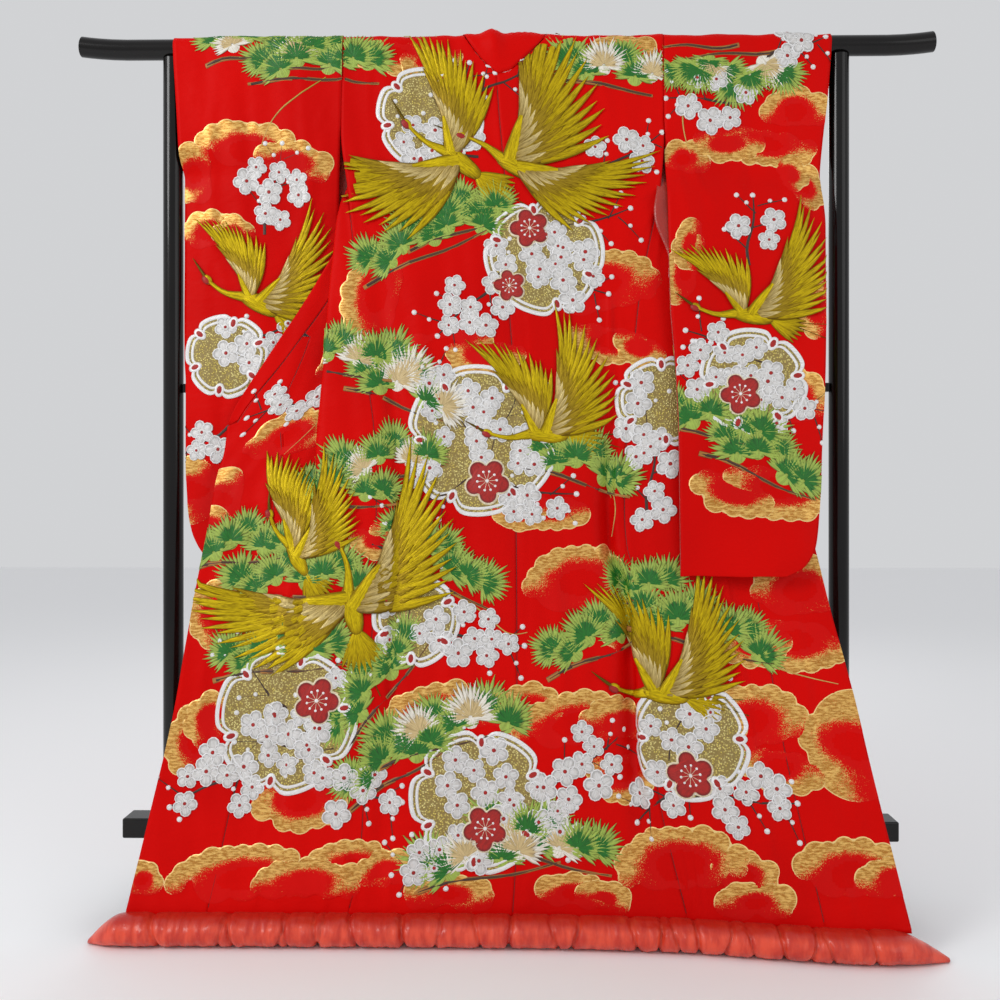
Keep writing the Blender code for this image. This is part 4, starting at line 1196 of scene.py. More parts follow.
class Needlework:
    """All the motifs of one finish, drawn flat and then laid on the cloth."""

    def __init__(self, name, material):
        self.name, self.material = name, material
        self.patches = {key: [] for key in FACES}

    def add(self, spot, plan, corners, high, tint, thread):
        u, v = spot.on_cloth(plan)
        a, b, c = corners.T
        area = (u[b] - u[a]) * (v[c] - v[a]) - (u[c] - u[a]) * (v[b] - v[a])
        corners = np.where(area[:, None] < 0, corners[:, ::-1], corners)
        tint = np.broadcast_to(tint, (len(u), 3))
        self.patches[spot.face].append((u, v, high, corners, tint, thread))

    def lay(self):
        """Lays every patch on its face of cloth and makes the piece."""
        points, corners, tints, threads, first = [], [], [], [], 0
        for key, patches in self.patches.items():
            if not patches:
                continue
            counts = np.cumsum([0] + [len(patch[0]) for patch in patches])
            u, v, high, tint, thread = (np.concatenate([patch[i] for patch in patches])
                                        for i in (0, 1, 2, 4, 5))
            faces = np.concatenate([patch[3] + start for patch, start in zip(patches, counts)])
            place, normal, inside = FACES[key].place(u, v)
            place = place + normal * high[:, None]
            keep = inside[faces].any(axis=1)
            # A triangle that the cloth's net pulls long spans a seam or a gap, so it is dropped
            for i, j in ((0, 1), (1, 2), (2, 0)):
                a, b = faces[:, i], faces[:, j]
                flat = np.hypot(u[a] - u[b], v[a] - v[b])
                keep &= np.linalg.norm(place[a] - place[b], axis=1) < 2.5 * flat + 0.004
            # One whose middle lies under the cloth, in a tight fold, would show through the lining
            under, out, _ = FACES[key].place(u[faces].mean(axis=1), v[faces].mean(axis=1))
            keep &= np.sum((place[faces].mean(axis=1) - under) * out, axis=1) > 0.0
            faces = faces[keep]
            used, fresh = np.unique(faces, return_inverse=True)
            points.append(place[used])
            tints.append(tint[used])
            threads.append(thread[used])
            corners.append(fresh.reshape(-1, 3) + first)
            first += len(used)
        points, corners = shift(np.concatenate(points)), np.concatenate(corners)
        across = np.cross(points[corners[:, 1]] - points[corners[:, 0]],
                          points[corners[:, 2]] - points[corners[:, 0]])
        corners = corners[np.linalg.norm(across, axis=1) > 1e-10]
        data = bpy.data.meshes.new(self.name)
        data.vertices.add(len(points))
        data.vertices.foreach_set("co", points.ravel())
        data.loops.add(corners.size)
        data.loops.foreach_set("vertex_index", corners.ravel().astype(np.int32))
        data.polygons.add(len(corners))
        data.polygons.foreach_set("loop_start", np.arange(0, corners.size, 3, dtype=np.int32))
        data.polygons.foreach_set("use_smooth", [True] * len(corners))
        data.update(calc_edges=True)
        tints, threads = np.concatenate(tints), np.concatenate(threads)
        colour = data.attributes.new("tint", "FLOAT_COLOR", "POINT")
        colour.data.foreach_set("color", np.c_[tints, np.ones(len(tints))].ravel())
        line = data.attributes.new("thread", "FLOAT_VECTOR", "POINT")
        line.data.foreach_set("vector", threads.ravel())
        shown(data, [self.material])


clouds = Needlework("motif_clouds", GOLD_LEAF)
rings_fill = Needlework("motif_ring_fill", KNOTS)
silver = Needlework("motif_silver_threads", SILVER_THREAD)
plums = Needlework("motif_white_plums", SILVER_THREAD)
red_plums = Needlework("motif_red_plums", SILK_FLOSS)
pines = Needlework("motif_pines", SILK_FLOSS)
twigs = Needlework("motif_branches", SILK_FLOSS)
cranes = Needlework("motif_cranes", GOLD_THREAD)


def read_out(at, stops, tints):
    """Colours at these values, from colours at the stops."""
    return np.array([np.interp(at, stops, band) for band in zip(*tints)]).T


def strip(work, spot, line, widths, base, rise, tints, form=FEATHER):
    """A run of stitches along a line, ridged along its middle."""
    points, corners = form
    s, t = points.T
    line = np.array(line, float)
    dense = spline(line, 33) if len(line) > 2 else np.linspace(line[0], line[1], 9)
    part = along(dense)
    whole = part[-1]
    part = part / whole
    lean = np.gradient(dense, axis=0)
    lean /= np.linalg.norm(lean, axis=1, keepdims=True)
    x, y = np.interp(s, part, dense[:, 0]), np.interp(s, part, dense[:, 1])
    dx, dy = np.interp(s, part, lean[:, 0]), np.interp(s, part, lean[:, 1])
    w = np.interp(s, np.linspace(0, 1, len(widths)), widths) * t
    high = base + rise * (1 - t * t) - 0.0005 * (np.abs(t) > 0.99)
    thread = np.c_[draws.uniform(0, 9) + s * whole, w, np.abs(t)]
    tint = read_out(s, np.linspace(0, 1, len(tints)), tints)
    work.add(spot, np.c_[x - dy * w, y + dx * w], corners, high, tint, thread)


def disc(work, spot, centre, sizes, turn, radii, highs, tints, form=DOME):
    """A stitched spot, with its height and colour read outwards from its middle."""
    points, corners = form
    r = np.minimum(np.hypot(*points.T), 1.0)
    x, y = points[:, 0] * sizes[0], points[:, 1] * sizes[1]
    c, s = math.cos(turn), math.sin(turn)
    plan = np.c_[centre[0] + x * c - y * s, centre[1] + x * s + y * c]
    thread = np.c_[draws.uniform(0, 9) + x, y, np.zeros(len(r))]
    work.add(spot, plan, corners, np.interp(r, radii, highs), read_out(r, radii, tints), thread)


# Colours of the threads
WHITE = (0.9, 0.9, 0.91)
GREY = (0.46, 0.45, 0.44)
PALE = (0.74, 0.73, 0.72)
PLUM = (0.43, 0.009, 0.005)
PLUM_DEEP = (0.19, 0.002, 0.002)
CREAM = (0.9, 0.8, 0.58)
THREAD = (0.44, 0.3, 0.004)
THREAD_DEEP = (0.16, 0.1, 0.004)
SATIN_YELLOW = (0.7, 0.52, 0.006)
COVERT = (0.35, 0.22, 0.03)
COVERT_LIGHT = (0.86, 0.7, 0.32)
BARK = (0.05, 0.022, 0.014)
PINE = (0.008, 0.17, 0.01)
PINE_TIP = (0.38, 0.52, 0.08)
PALE_PINE = (0.66, 0.5, 0.24)
PALE_TIP = (0.9, 0.86, 0.76)
# Cells of the nets that clouds and ring fields are cut from. Points this near a cloud's outline go onto it
CLOUD_STEP = 0.0045
RING_STEP = 0.005
CLOUD_PULL = 0.005
# Heights of a cloud over the cloth: its outline, then its leaf, which sinks where it is worn through.
# Clouds that follow each other are staggered, and one drawn over another lies higher
CLOUD_OUTLINE = 0.0005
OUTLINE_HIGH = 0.0002
LEAF_LOW = 0.0001
LEAF_RISE = 0.0007
LEAF_LEFT = 0.04
CLOUD_STAGGER = 0.0001
OVER_LIFT = 0.0003


def under_another(spot, x, y):
    """Whether a crane or a red blossom lies over this place."""
    u, v = spot.on_cloth(np.array([[x, y]]))
    return any(spot.face == face and math.hypot(u[0] - cu, v[0] - cv) < far
               for face, cu, cv, far in OVER_PLUMS)


def white_plum(spot, x, y, r, base=0.0014):
    """Five round petals with bright rims round a small dark red eye."""
    if under_another(spot, x, y):
        return
    turn = draws.uniform(0, 2 * math.pi)
    for i in range(5):
        a = turn + 2 * math.pi * i / 5
        centre = (x + 0.55 * r * math.cos(a), y + 0.55 * r * math.sin(a))
        lift = base + 0.00008 * i
        disc(plums, spot, centre, (0.47 * r, 0.45 * r), a, [0, 0.4, 0.76, 0.87, 0.96, 1.0],
             [lift + 0.0008, lift + 0.0007, lift + 0.0003, lift + 0.0009, lift + 0.0005, 0.0002],
             [PALE, PALE, GREY, WHITE, WHITE, GREY], PETAL)
    disc(plums, spot, (x, y), (0.34 * r, 0.34 * r), turn, [0, 0.6, 0.9, 1.0],
         [base + 0.0016, base + 0.0015, base + 0.0013, base + 0.0006], [PALE, PALE, PALE, GREY], EYE)
    disc(red_plums, spot, (x, y), (0.15 * r, 0.15 * r), turn, [0, 0.6, 1.0],
         [base + 0.0021, base + 0.002, base + 0.0014], [PLUM, PLUM, PLUM_DEEP], DOT)


def bud(spot, x, y, r, base=0.0012):
    """A small round bud of plum blossom."""
    disc(plums, spot, (x, y), (r, r), 0.0, [0, 0.3, 0.6, 0.85, 1.0],
         [base + 0.0011, base + 0.001, base + 0.0008, base + 0.0004, 0.0],
         [WHITE, WHITE, PALE, WHITE, PALE])


def red_plum(face, u, v, r):
    """A large dark red plum blossom with a pale outline and a ring of stamens."""
    spot = Spot(face, u, v, draws.uniform(0, 72))
    for i in range(5):
        a = 2 * math.pi * i / 5
        centre = (0.58 * r * math.cos(a), 0.58 * r * math.sin(a))
        disc(red_plums, spot, centre, (0.43 * r, 0.43 * r), a, [0, 0.52, 0.78, 0.86, 1.0],
             [0.0036, 0.0035, 0.0032, 0.0038, 0.0012],
             [PLUM, PLUM, PLUM_DEEP, CREAM, CREAM], BLOOM)
    disc(red_plums, spot, (0, 0), (0.66 * r, 0.66 * r), 0.0, [0, 0.8, 1.0], [0.0044, 0.0042, 0.0036],
         [PLUM, PLUM, PLUM])
    for i in range(10):
        a = 2 * math.pi * (i + 0.5) / 10
        tip = (0.4 * r * math.cos(a), 0.4 * r * math.sin(a))
        strip(silver, spot, [(0, 0), tip], [0.0007, 0.0006], 0.0045, 0.0002, [CREAM, CREAM], NEEDLE)
        disc(silver, spot, tip, (0.055 * r, 0.055 * r), 0.0, [0, 1.0], [0.0052, 0.0042],
             [WHITE, WHITE], DOT)
    disc(silver, spot, (0, 0), (0.09 * r, 0.09 * r), 0.0, [0, 1.0], [0.0054, 0.0042],
         [WHITE, WHITE], DOT)


def branch(spot, line, wide, tints=(BARK, BARK), base=0.0008):
    """A twig that thins towards its end."""
    strip(twigs, spot, line, [wide, 0.9 * wide, 0.7 * wide, 0.35 * wide], base, 0.0008, tints, TWIG)


def plum_spray(face, u, v, lean, flowers, size=0.027):
    """Plum blossoms crowded along a dark branch, with buds at its ends."""
    spot = Spot(face, u, v, lean)
    flowers = round(1.5 * flowers)
    reach = 0.021 * math.sqrt(flowers) + 0.02
    line = [(-reach, -0.012), (-0.4 * reach, 0.006), (0.3 * reach, -0.004), (1.25 * reach, 0.012)]
    branch(spot, line, 0.003)
    for k, sign in ((-0.5, 1), (0.2, -1), (0.7, 1), (0.95, -1)):
        foot = (k * reach, 0.0)
        knee = ((k + 0.18) * reach, sign * 0.018)
        tip = ((k + 0.45) * reach, sign * draws.uniform(0.04, 0.055))
        branch(spot, [foot, knee, tip], 0.0013)
        bud(spot, tip[0], tip[1], 0.0052)
        bud(spot, knee[0] + 0.006, knee[1] + 0.004 * sign, 0.0045)
    bud(spot, 1.3 * reach, 0.013, 0.0055)
    placed = []
    for _ in range(120):
        if len(placed) == flowers:
            break
        a, far = draws.uniform(0, 2 * math.pi), reach * math.sqrt(draws.uniform(0, 1))
        x, y, r = 1.05 * far * math.cos(a), 0.75 * far * math.sin(a), size * draws.uniform(0.8, 1.1)
        if all(math.hypot(x - q[0], y - q[1]) > 0.62 * (r + q[2]) for q in placed):
            placed.append((x, y, r))
    for i, (x, y, r) in enumerate(placed):
        white_plum(spot, x, y, r, 0.0014 + 0.0002 * (i % 3))


def snow_ring(face, u, v, r, turn=0.0):
    """A snow ring: notched silver borders round a field of gold knots."""
    spot = Spot(face, u, v, turn)
    notches = [2 * math.pi * (i + draws.uniform(-0.08, 0.08)) / 6 for i in range(6)]

    def reach(angle):
        dents = sum(np.exp(-(np.angle(np.exp(1j * (angle - n))) / 0.13) ** 2) for n in notches)
        return r * (1 - 0.15 * dents + 0.02 * np.cos(3 * angle))

    plan, quads = field((-1.05 * r, -1.05 * r), (1.05 * r, 1.05 * r), RING_STEP)
    depth = reach(np.arctan2(plan[:, 1], plan[:, 0])) - np.hypot(*plan.T)
    quads = quads[(depth[quads] > -0.001).all(axis=1)]
    rings_fill.add(spot, plan, halves(quads), np.where(depth > 0.002, 0.0011, 0.0004), GOLD[:3],
                   np.c_[plan, depth])
    points, corners = LOOP
    angle = 2 * math.pi * points[:, 0]
    for inset, half, base in ((0.0, 0.0042, 0.0012), (0.0112, 0.0028, 0.0013)):
        away = reach(angle) - inset + half * points[:, 1]
        plan = np.c_[away * np.cos(angle), away * np.sin(angle)]
        high = base + 0.0011 * (1 - points[:, 1] ** 2)
        thread = np.c_[half * points[:, 1] * 3, away * angle, np.abs(points[:, 1]) * 0.7]
        silver.add(spot, plan, corners, high, WHITE, thread)
    for notch in notches:
        at = reach(np.array([notch]))[0] * 0.985
        centre = (at * math.cos(notch), at * math.sin(notch))
        disc(silver, spot, centre, (0.0145, 0.01), notch, [0, 0.6, 0.85, 1.0],
             [0.0022, 0.0028, 0.0028, 0.0008], [WHITE, WHITE, WHITE, PALE])
        disc(red_plums, spot, centre, (0.0088, 0.0052), notch, [0, 0.6, 1.0], [0.0036, 0.0034, 0.0027],
             [PLUM, PLUM, PLUM], DOT)


def tuft(spot, x, y, lean, size, base, tints, tips):
    """A fan of pine needles on a dark core."""
    disc(pines, spot, (x, y), (0.34 * size, 0.3 * size), lean, [0, 0.6, 1.0],
         [base + 0.0005, base + 0.0004, 0.0002], [tips, tips, tips])
    for count, reach, spread_by, lift, tint in ((25, 1.0, 104, 0.0003, tips),
                                                (15, 0.66, 88, 0.0009, tints)):
        for i in range(count):
            a = lean + math.radians(spread_by * (2 * i / (count - 1) - 1)) + draws.uniform(-0.04, 0.04)
            far = reach * size * (0.82 + 0.22 * math.cos(a - lean)) * draws.uniform(0.86, 1.1)
            strip(pines, spot, [(x + 0.06 * size * math.cos(a), y + 0.06 * size * math.sin(a)),
                                (x + far * math.cos(a), y + far * math.sin(a))],
                  [0.03 * size, 0.06 * size, 0.062 * size, 0.006 * size],
                  base + lift + 0.0002 * (i % 2), 0.0006, [tint, tint, tint, tips], NEEDLE)


def pine(face, u, v, count, turn=0.0, size=0.043, pale=0):
    """A mound of overlapping tufts above a knotted branch."""
    spot = Spot(face, u, v, turn)
    size, count = 1.32 * size, round(1.4 * count)
    wide = 0.019 * count
    for shift_y in (-0.0012, 0.0012):
        branch(spot, [(-wide, -0.018 + shift_y), (-0.4 * wide, -0.004 + shift_y), (0.3 * wide, -0.02),
                      (1.05 * wide, -0.008 + shift_y)], 0.004, (GOLD[:3], GOLD[:3]), 0.0006)
    branch(spot, [(-0.95 * wide, -0.017), (-0.4 * wide, -0.004), (0.3 * wide, -0.02), (wide, -0.008)],
           0.0026, (BARK, (0.12, 0.05, 0.02)), 0.0014)
    for i in range(count):
        k = (i + 0.5) / count
        x = wide * (2 * k - 1) * 0.86
        y = 0.024 * math.sin(math.pi * k) + (0.024, -0.006, 0.008)[i % 3]
        lean = math.radians(90 - 40 * (2 * k - 1)) + draws.uniform(-0.25, 0.25)
        bright = pale and (i % 3 == pale % 3)
        tuft(spot, x, y, lean, size * draws.uniform(0.85, 1.1), 0.0009 + 0.0005 * (i % 3),
             PALE_PINE if bright else PINE, PALE_TIP if bright else PINE_TIP)


def field(low, top, step):
    """A flat net of square cells over a rectangle: points and the corners of its cells."""
    columns, rows = (np.ceil((np.array(top) - low) / step)).astype(int) + 1
    x, y = np.meshgrid(np.linspace(low[0], top[0], columns), np.linspace(low[1], top[1], rows))
    cell = (np.arange(rows - 1)[:, None] * columns + np.arange(columns - 1)).ravel()
    return np.c_[x.ravel(), y.ravel()], np.c_[cell, cell + 1, cell + columns + 1, cell + columns]


def halves(quads):
    """Each cell's two triangles."""
    return np.concatenate([quads[:, [0, 1, 2]], quads[:, [0, 2, 3]]])


def cloud(face, u, v, wide, high, turn, lift, over=False):
    """A drifting cloud of gold leaf with a scalloped edge, worn through to the red inside."""
    spot = Spot(face, u, v, turn)
    half_wide, half_high = 0.56 * wide - 0.016, 0.58 * high - 0.012
    circles = [(0.3 * half_wide * k, 0.0, half_high) for k in (-1.4, 0.0, 1.4)]
    angle, last = math.radians(draws.uniform(-34, -16)), math.radians(draws.uniform(194, 216))
    while angle < last:
        x, y = half_wide * math.cos(angle), half_high * math.sin(angle)
        size = draws.uniform(0.017, 0.025)
        circles.append((x, y, size))
        circles.append((0.55 * x, 0.5 * y, 1.25 * size))
        angle += 1.42 * size / math.hypot(half_wide * math.sin(angle), half_high * math.cos(angle))
    drift = draws.uniform(-0.15, 0.15)
    high = 2 * half_high + 0.04
    circles = np.array(circles)
    low = (circles[:, :2] - circles[:, 2:]).min(axis=0) - 0.006
    top = (circles[:, :2] + circles[:, 2:]).max(axis=0) + 0.006
    plan, quads = field(low, top, CLOUD_STEP)
    away = plan[:, None] - circles[None, :, :2]
    reach = circles[:, 2] - np.linalg.norm(away, axis=2)
    best = reach.argmax(axis=1)
    depth = reach.max(axis=1)
    toward = away[np.arange(len(plan)), best]
    span = np.maximum(np.linalg.norm(toward, axis=1), 1e-6)
    pulled = circles[best, :2] + toward * (circles[best, 2] / span)[:, None]
    near = (depth < 0) & (depth > -CLOUD_PULL)
    oval = np.hypot(plan[:, 0] / (half_wide + 0.018), plan[:, 1] / (half_high + 0.018))
    quads = quads[(depth[quads] > -CLOUD_PULL).all(axis=1) & (depth[quads] > 0).any(axis=1)]
    waver = 0.12 * high * np.sin(30 * plan[:, 0] + 9 * drift)
    worn = smooth(plan[:, 1] + waver, -0.34 * high, 0.14 * high)
    inner = 1 - smooth((1 - oval) * (half_high + 0.018), 0.01, 0.016 + 0.62 * half_high)
    plan = np.where(near[:, None], pulled, plan)
    depth = np.maximum(depth, 0.0)
    gold = np.clip(inner * (0.1 + 0.9 * worn), 0, 1)
    leaf = worn if over else gold
    quads = quads[(leaf > LEAF_LEFT)[quads].any(axis=1)]
    risen = smooth(leaf, 0.02, 0.25)
    on_u, on_v = spot.on_cloth(plan)
    for ring_face, ring_u, ring_v, r, _ in SNOW_RINGS:
        if ring_face == face:
            hidden = np.hypot(on_u - ring_u, on_v - ring_v) < 0.93 * r
            quads = quads[~hidden[quads].all(axis=1)]
    raised = np.where(depth > CLOUD_OUTLINE, LEAF_LOW + (lift + LEAF_RISE) * risen, OUTLINE_HIGH)
    clouds.add(spot, plan, halves(quads), raised, (1, 1, 1), np.c_[depth, gold, depth * 0])


def wing(spot, shoulder, lean, fan, size, base):
    """Primaries and coverts spread from the lead edge, and each row lies over the last."""
    lean, fan = math.radians(lean), math.radians(fan)
    arm = 0.3 * size
    along_arm = lean + 0.25 * fan
    tip = (shoulder[0] + arm * math.cos(along_arm), shoulder[1] + arm * math.sin(along_arm))
    # Rows of feathers: count, reach at the tip and at the shoulder, width, colours, and lift
    rows = [(15, 1.0, 0.8, 0.031, THREAD, SATIN_YELLOW, 0.0),
            (12, 0.52, 0.52, 0.03, COVERT, THREAD, 0.0008),
            (9, 0.28, 0.3, 0.027, COVERT, COVERT_LIGHT, 0.0014)]
    for count, outer, inner, wide, tint, end, lift in rows:
        for i in range(count):
            k = i / (count - 1)
            a = lean + fan * k + draws.uniform(-0.015, 0.015)
            root = (blend(tip[0], shoulder[0], k), blend(tip[1], shoulder[1], k))
            far = size * blend(outer, inner, k) * 0.78 * (1 - 0.06 * (i % 2))
            bow = a + 0.16 * math.copysign(1, fan)
            line = [root, (root[0] + 0.5 * far * math.cos(bow), root[1] + 0.5 * far * math.sin(bow)),
                    (root[0] + far * math.cos(a), root[1] + far * math.sin(a))]
            w = wide * size * (0.8 + 0.35 * k)
            strip(cranes, spot, line, [0.5 * w, 0.85 * w, w, 0.95 * w, 0.8 * w, 0.5 * w, 0.03 * w],
                  base + lift + 0.0001 * (i % 2) + 0.00006 * i, 0.0008, [tint, end])
    strip(cranes, spot, [shoulder, ((shoulder[0] + tip[0]) / 2, (shoulder[1] + tip[1]) / 2), tip],
          [0.05 * size, 0.042 * size, 0.03 * size, 0.012 * size], base + 0.0022, 0.001,
          [SATIN_YELLOW, SATIN_YELLOW])


def crane(face, u, v, size, heading, bend, wings):
    """A crane in flight in gold thread, all in shares of its size: legs, tail, wings, body, neck, head."""
    spot = Spot(face, u, v)
    ahead = math.radians(heading)

    def way(angle, far, start=(0.0, 0.0)):
        return (start[0] + far * math.cos(angle), start[1] + far * math.sin(angle))

    rump = way(ahead, -0.17 * size)
    for k in (-0.12, 0.12):
        leg = way(ahead + math.pi + k, 0.62 * size, rump)
        strip(cranes, spot, [rump, way(ahead + math.pi + 0.5 * k, 0.3 * size, rump), leg],
              [0.006 * size, 0.005 * size, 0.004 * size], 0.0012, 0.0008, [THREAD_DEEP, THREAD_DEEP], TWIG)
    for i in range(9):
        a = ahead + math.pi + math.radians(-34 + 68 * i / 8)
        far = size * (0.4 - 0.05 * abs(i - 4) / 4)
        strip(cranes, spot, [rump, way(a, far, rump)],
              [0.018 * size, 0.032 * size, 0.034 * size, 0.026 * size, 0.004 * size],
              0.0016 + 0.0001 * (4 - abs(i - 4)), 0.0009, [SATIN_YELLOW, THREAD])
    for index, (lean, fan, reach) in enumerate(wings):
        wing(spot, way(ahead, (0.1 - 0.08 * index) * size), lean, fan, reach, 0.0026 + 0.0014 * index)
    disc(cranes, spot, (0, 0), (0.235 * size, 0.088 * size), ahead, [0, 0.3, 0.6, 0.85, 1.0],
         [0.007, 0.0067, 0.0056, 0.0042, 0.0016],
         [SATIN_YELLOW, SATIN_YELLOW, SATIN_YELLOW, THREAD, THREAD_DEEP])
    chest = way(ahead, 0.17 * size)
    bend = math.radians(bend)
    mid = way(ahead + bend, 0.21 * size, chest)
    head = way(ahead - 0.6 * bend, 0.23 * size, mid)
    strip(cranes, spot, [way(ahead, 0.1 * size), chest, mid, head],
          [0.06 * size, 0.045 * size, 0.028 * size, 0.02 * size, 0.018 * size], 0.0034, 0.0016,
          [SATIN_YELLOW, SATIN_YELLOW])
    facing = ahead - 0.9 * bend
    strip(cranes, spot, [way(facing, 0.02 * size, head), way(facing - 0.1, 0.27 * size, head)],
          [0.017 * size, 0.012 * size, 0.002 * size], 0.0036, 0.001, [THREAD_DEEP, THREAD_DEEP], TWIG)
    disc(cranes, spot, head, (0.056 * size, 0.04 * size), facing, [0, 0.6, 1.0], [0.0056, 0.0051, 0.003],
         [SATIN_YELLOW, SATIN_YELLOW, THREAD])
    crown = way(facing + 1.3, 0.014 * size, head)
    disc(red_plums, spot, crown, (0.052 * size, 0.034 * size), facing, [0, 0.6, 1.0],
         [0.0066, 0.0061, 0.004], [PLUM, PLUM, PLUM_DEEP], DOT)


def placed(*runs):
    """Rows of motifs, each with its face, from runs of rows that lie on one face."""
    return [(face, *row) for face, rows in runs for row in rows]


# Every motif starts with its place on the cloth, U and V. Red plums: radius
RED_PLUMS = placed(
    ("body", [(0.044, 1.347, 0.042), (0.003, 1.232, 0.034), (-0.055, 0.847, 0.046)]),
    ("sleeve_right", [(0.452, 1.013, 0.042)]),
    ("body", [(-0.383, 0.432, 0.046), (-0.058, 0.202, 0.044), (0.337, 0.302, 0.046)]),
    ("sleeve_left", [(-0.44, 2.235, 0.042)]),
    ("sleeve_right", [(0.5, 2.15, 0.042)]),
)
# Cranes: size, heading, neck bend, then each wing's lead angle, fan and reach
CRANES = [
    ("sleeve_left", -0.495, 1.205, 0.2, 152, 24, [(129, -53, 0.19), (69, -86, 0.224)]),
    ("body", -0.085, 1.482, 0.215, 140, 18, [(111, -56, 0.269), (170, 65, 0.314)]),
    ("body", 0.03, 1.47, 0.215, 150, -16, [(90, -75, 0.336), (10, -62, 0.269)]),
    ("body", 0.062, 0.937, 0.195, 176, 22, [(129, -53, 0.213), (88, -73, 0.246)]),
    ("sleeve_right", 0.478, 1.165, 0.185, 168, 22, [(141, -56, 0.179), (71, -65, 0.246)]),
    ("body", -0.43, 0.697, 0.18, 124, 22, [(125, -53, 0.213), (80, -62, 0.213)]),
    ("body", -0.32, 0.6, 0.215, 104, -18, [(169, 56, 0.336), (74, -65, 0.325)]),
    ("body", 0.3, 0.447, 0.2, 172, 24, [(131, -53, 0.235), (78, -68, 0.246)]),
    ("sleeve_left", -0.49, 2.47, 0.19, 20, 22, [(92, 62, 0.224), (65, -65, 0.224)]),
    ("sleeve_right", 0.49, 2.4, 0.19, 160, 22, [(129, -53, 0.202), (69, -86, 0.224)]),
]
# Snow rings: radius and turn
SNOW_RINGS = placed(
    ("body", [(-0.141, 1.572, 0.104, 10), (0.073, 1.292, 0.116, 40), (-0.066, 0.927, 0.144, 0)]),
    ("sleeve_left", [(-0.56, 1.1, 0.082, 20)]),
    ("sleeve_right", [(0.475, 1.038, 0.1, 5)]),
    ("body", [(0.291, 1.002, 0.088, 35), (-0.443, 0.397, 0.134, 15), (-0.069, 0.252, 0.128, 30),
              (0.342, 0.367, 0.108, 0), (-0.195, 0.582, 0.084, 25)]),
    ("sleeve_left", [(-0.47, 2.2, 0.095, 12)]),
    ("sleeve_right", [(0.47, 2.19, 0.095, 33)]),
)
# Circles that no white plum is drawn in, because a red plum or a crane covers them
OVER_PLUMS = [(face, u, v, 0.8 * r) for face, u, v, r in RED_PLUMS]
for face, u, v, size, heading, bend, wings in CRANES:
    OVER_PLUMS.append((face, u, v, 0.2 * size))
    for lean, fan, reach in wings:
        middle = math.radians(lean + 0.5 * fan)
        OVER_PLUMS.append((face, u + 0.6 * reach * math.cos(middle), v + 0.6 * reach * math.sin(middle),
                           0.36 * reach))

# Clouds: width, height and turn
CLOUDS = placed(
    ("sleeve_left", [(-0.512, 1.515, 0.2, 0.085, -8), (-0.63, 1.47, 0.1, 0.08, 80),
                     (-0.6, 1.35, 0.11, 0.07, 10), (-0.633, 0.83, 0.08, 0.12, 90)]),
    ("sleeve_right", [(0.522, 1.52, 0.18, 0.07, 172), (0.58, 1.588, 0.12, 0.075, 4),
                      (0.59, 1.43, 0.1, 0.07, -60), (0.355, 1.488, 0.09, 0.06, 10),
                      (0.352, 1.258, 0.13, 0.06, 80), (0.55, 1.003, 0.12, 0.1, 8),
                      (0.52, 0.833, 0.2, 0.09, 175), (0.6, 1.18, 0.1, 0.06, 85)]),
    ("body", [(-0.204, 1.707, 0.16, 0.06, 176), (-0.262, 1.215, 0.18, 0.1, 75),
              (-0.142, 1.102, 0.2, 0.085, 184), (0.181, 1.232, 0.21, 0.11, 12),
              (0.19, 1.12, 0.13, 0.07, 178), (0.258, 1.7, 0.12, 0.07, 0), (-0.605, 0.812, 0.08, 0.11, 88),
              (-0.54, 0.935, 0.13, 0.09, 12), (-0.215, 0.742, 0.13, 0.06, 182),
              (0.12, 0.655, 0.19, 0.11, 8), (0.215, 0.59, 0.12, 0.07, 60), (0.562, 0.642, 0.16, 0.1, 6),
              (0.545, 0.547, 0.17, 0.085, 176), (0.64, 0.362, 0.11, 0.16, 78), (0.11, 0.392, 0.21, 0.09, 8),
              (0.2, 0.3, 0.13, 0.08, 182), (0.455, 0.4, 0.19, 0.1, 8), (0.505, 0.32, 0.14, 0.07, 176),
              (-0.15, 0.412, 0.19, 0.08, 10), (0.024, 0.42, 0.11, 0.07, 6), (-0.5, 0.11, 0.26, 0.09, 4),
              (-0.69, 0.105, 0.07, 0.05, 6), (-0.303, 0.13, 0.15, 0.08, 4), (0.305, 0.147, 0.22, 0.1, 6),
              (0.61, 0.142, 0.18, 0.09, 2), (-0.585, 0.592, 0.11, 0.09, 80), (-0.61, 0.357, 0.13, 0.09, 70),
              (-0.407, 0.247, 0.16, 0.08, 184), (0.066, 0.792, 0.13, 0.06, 178),
              (-0.12, 0.085, 0.15, 0.05, 2), (0.11, 0.09, 0.13, 0.05, 0), (0.44, 0.085, 0.12, 0.05, 2),
              (-0.47, 1.12, 0.12, 0.07, 30), (0.42, 0.13, 0.11, 0.06, 2)]),
    ("sleeve_left", [(-0.48, 1.95, 0.19, 0.085, 188), (-0.42, 2.35, 0.2, 0.1, 172),
                     (-0.56, 2.6, 0.13, 0.08, 175)]),
    ("sleeve_right", [(0.5, 1.96, 0.19, 0.085, 176), (0.4, 2.33, 0.18, 0.1, 188),
                      (0.54, 2.64, 0.14, 0.08, 184)]),
)
for order, motif in enumerate(CLOUDS):
    step = CLOUD_STAGGER * (order % 3)
    cloud(*motif, step)
    face, u, v, wide, high, turn = motif
    way = math.radians(turn) + (0.0 if draws.uniform() < 0.5 else math.pi)
    if order % 2:
        continue
    cloud(face, u + 0.44 * wide * math.cos(way), v + 0.44 * wide * math.sin(way) - 0.16 * high,
          0.7 * wide, 0.74 * high, turn + draws.uniform(-14, 14), OVER_LIFT + step, over=True)

for motif in SNOW_RINGS:
    snow_ring(*motif)

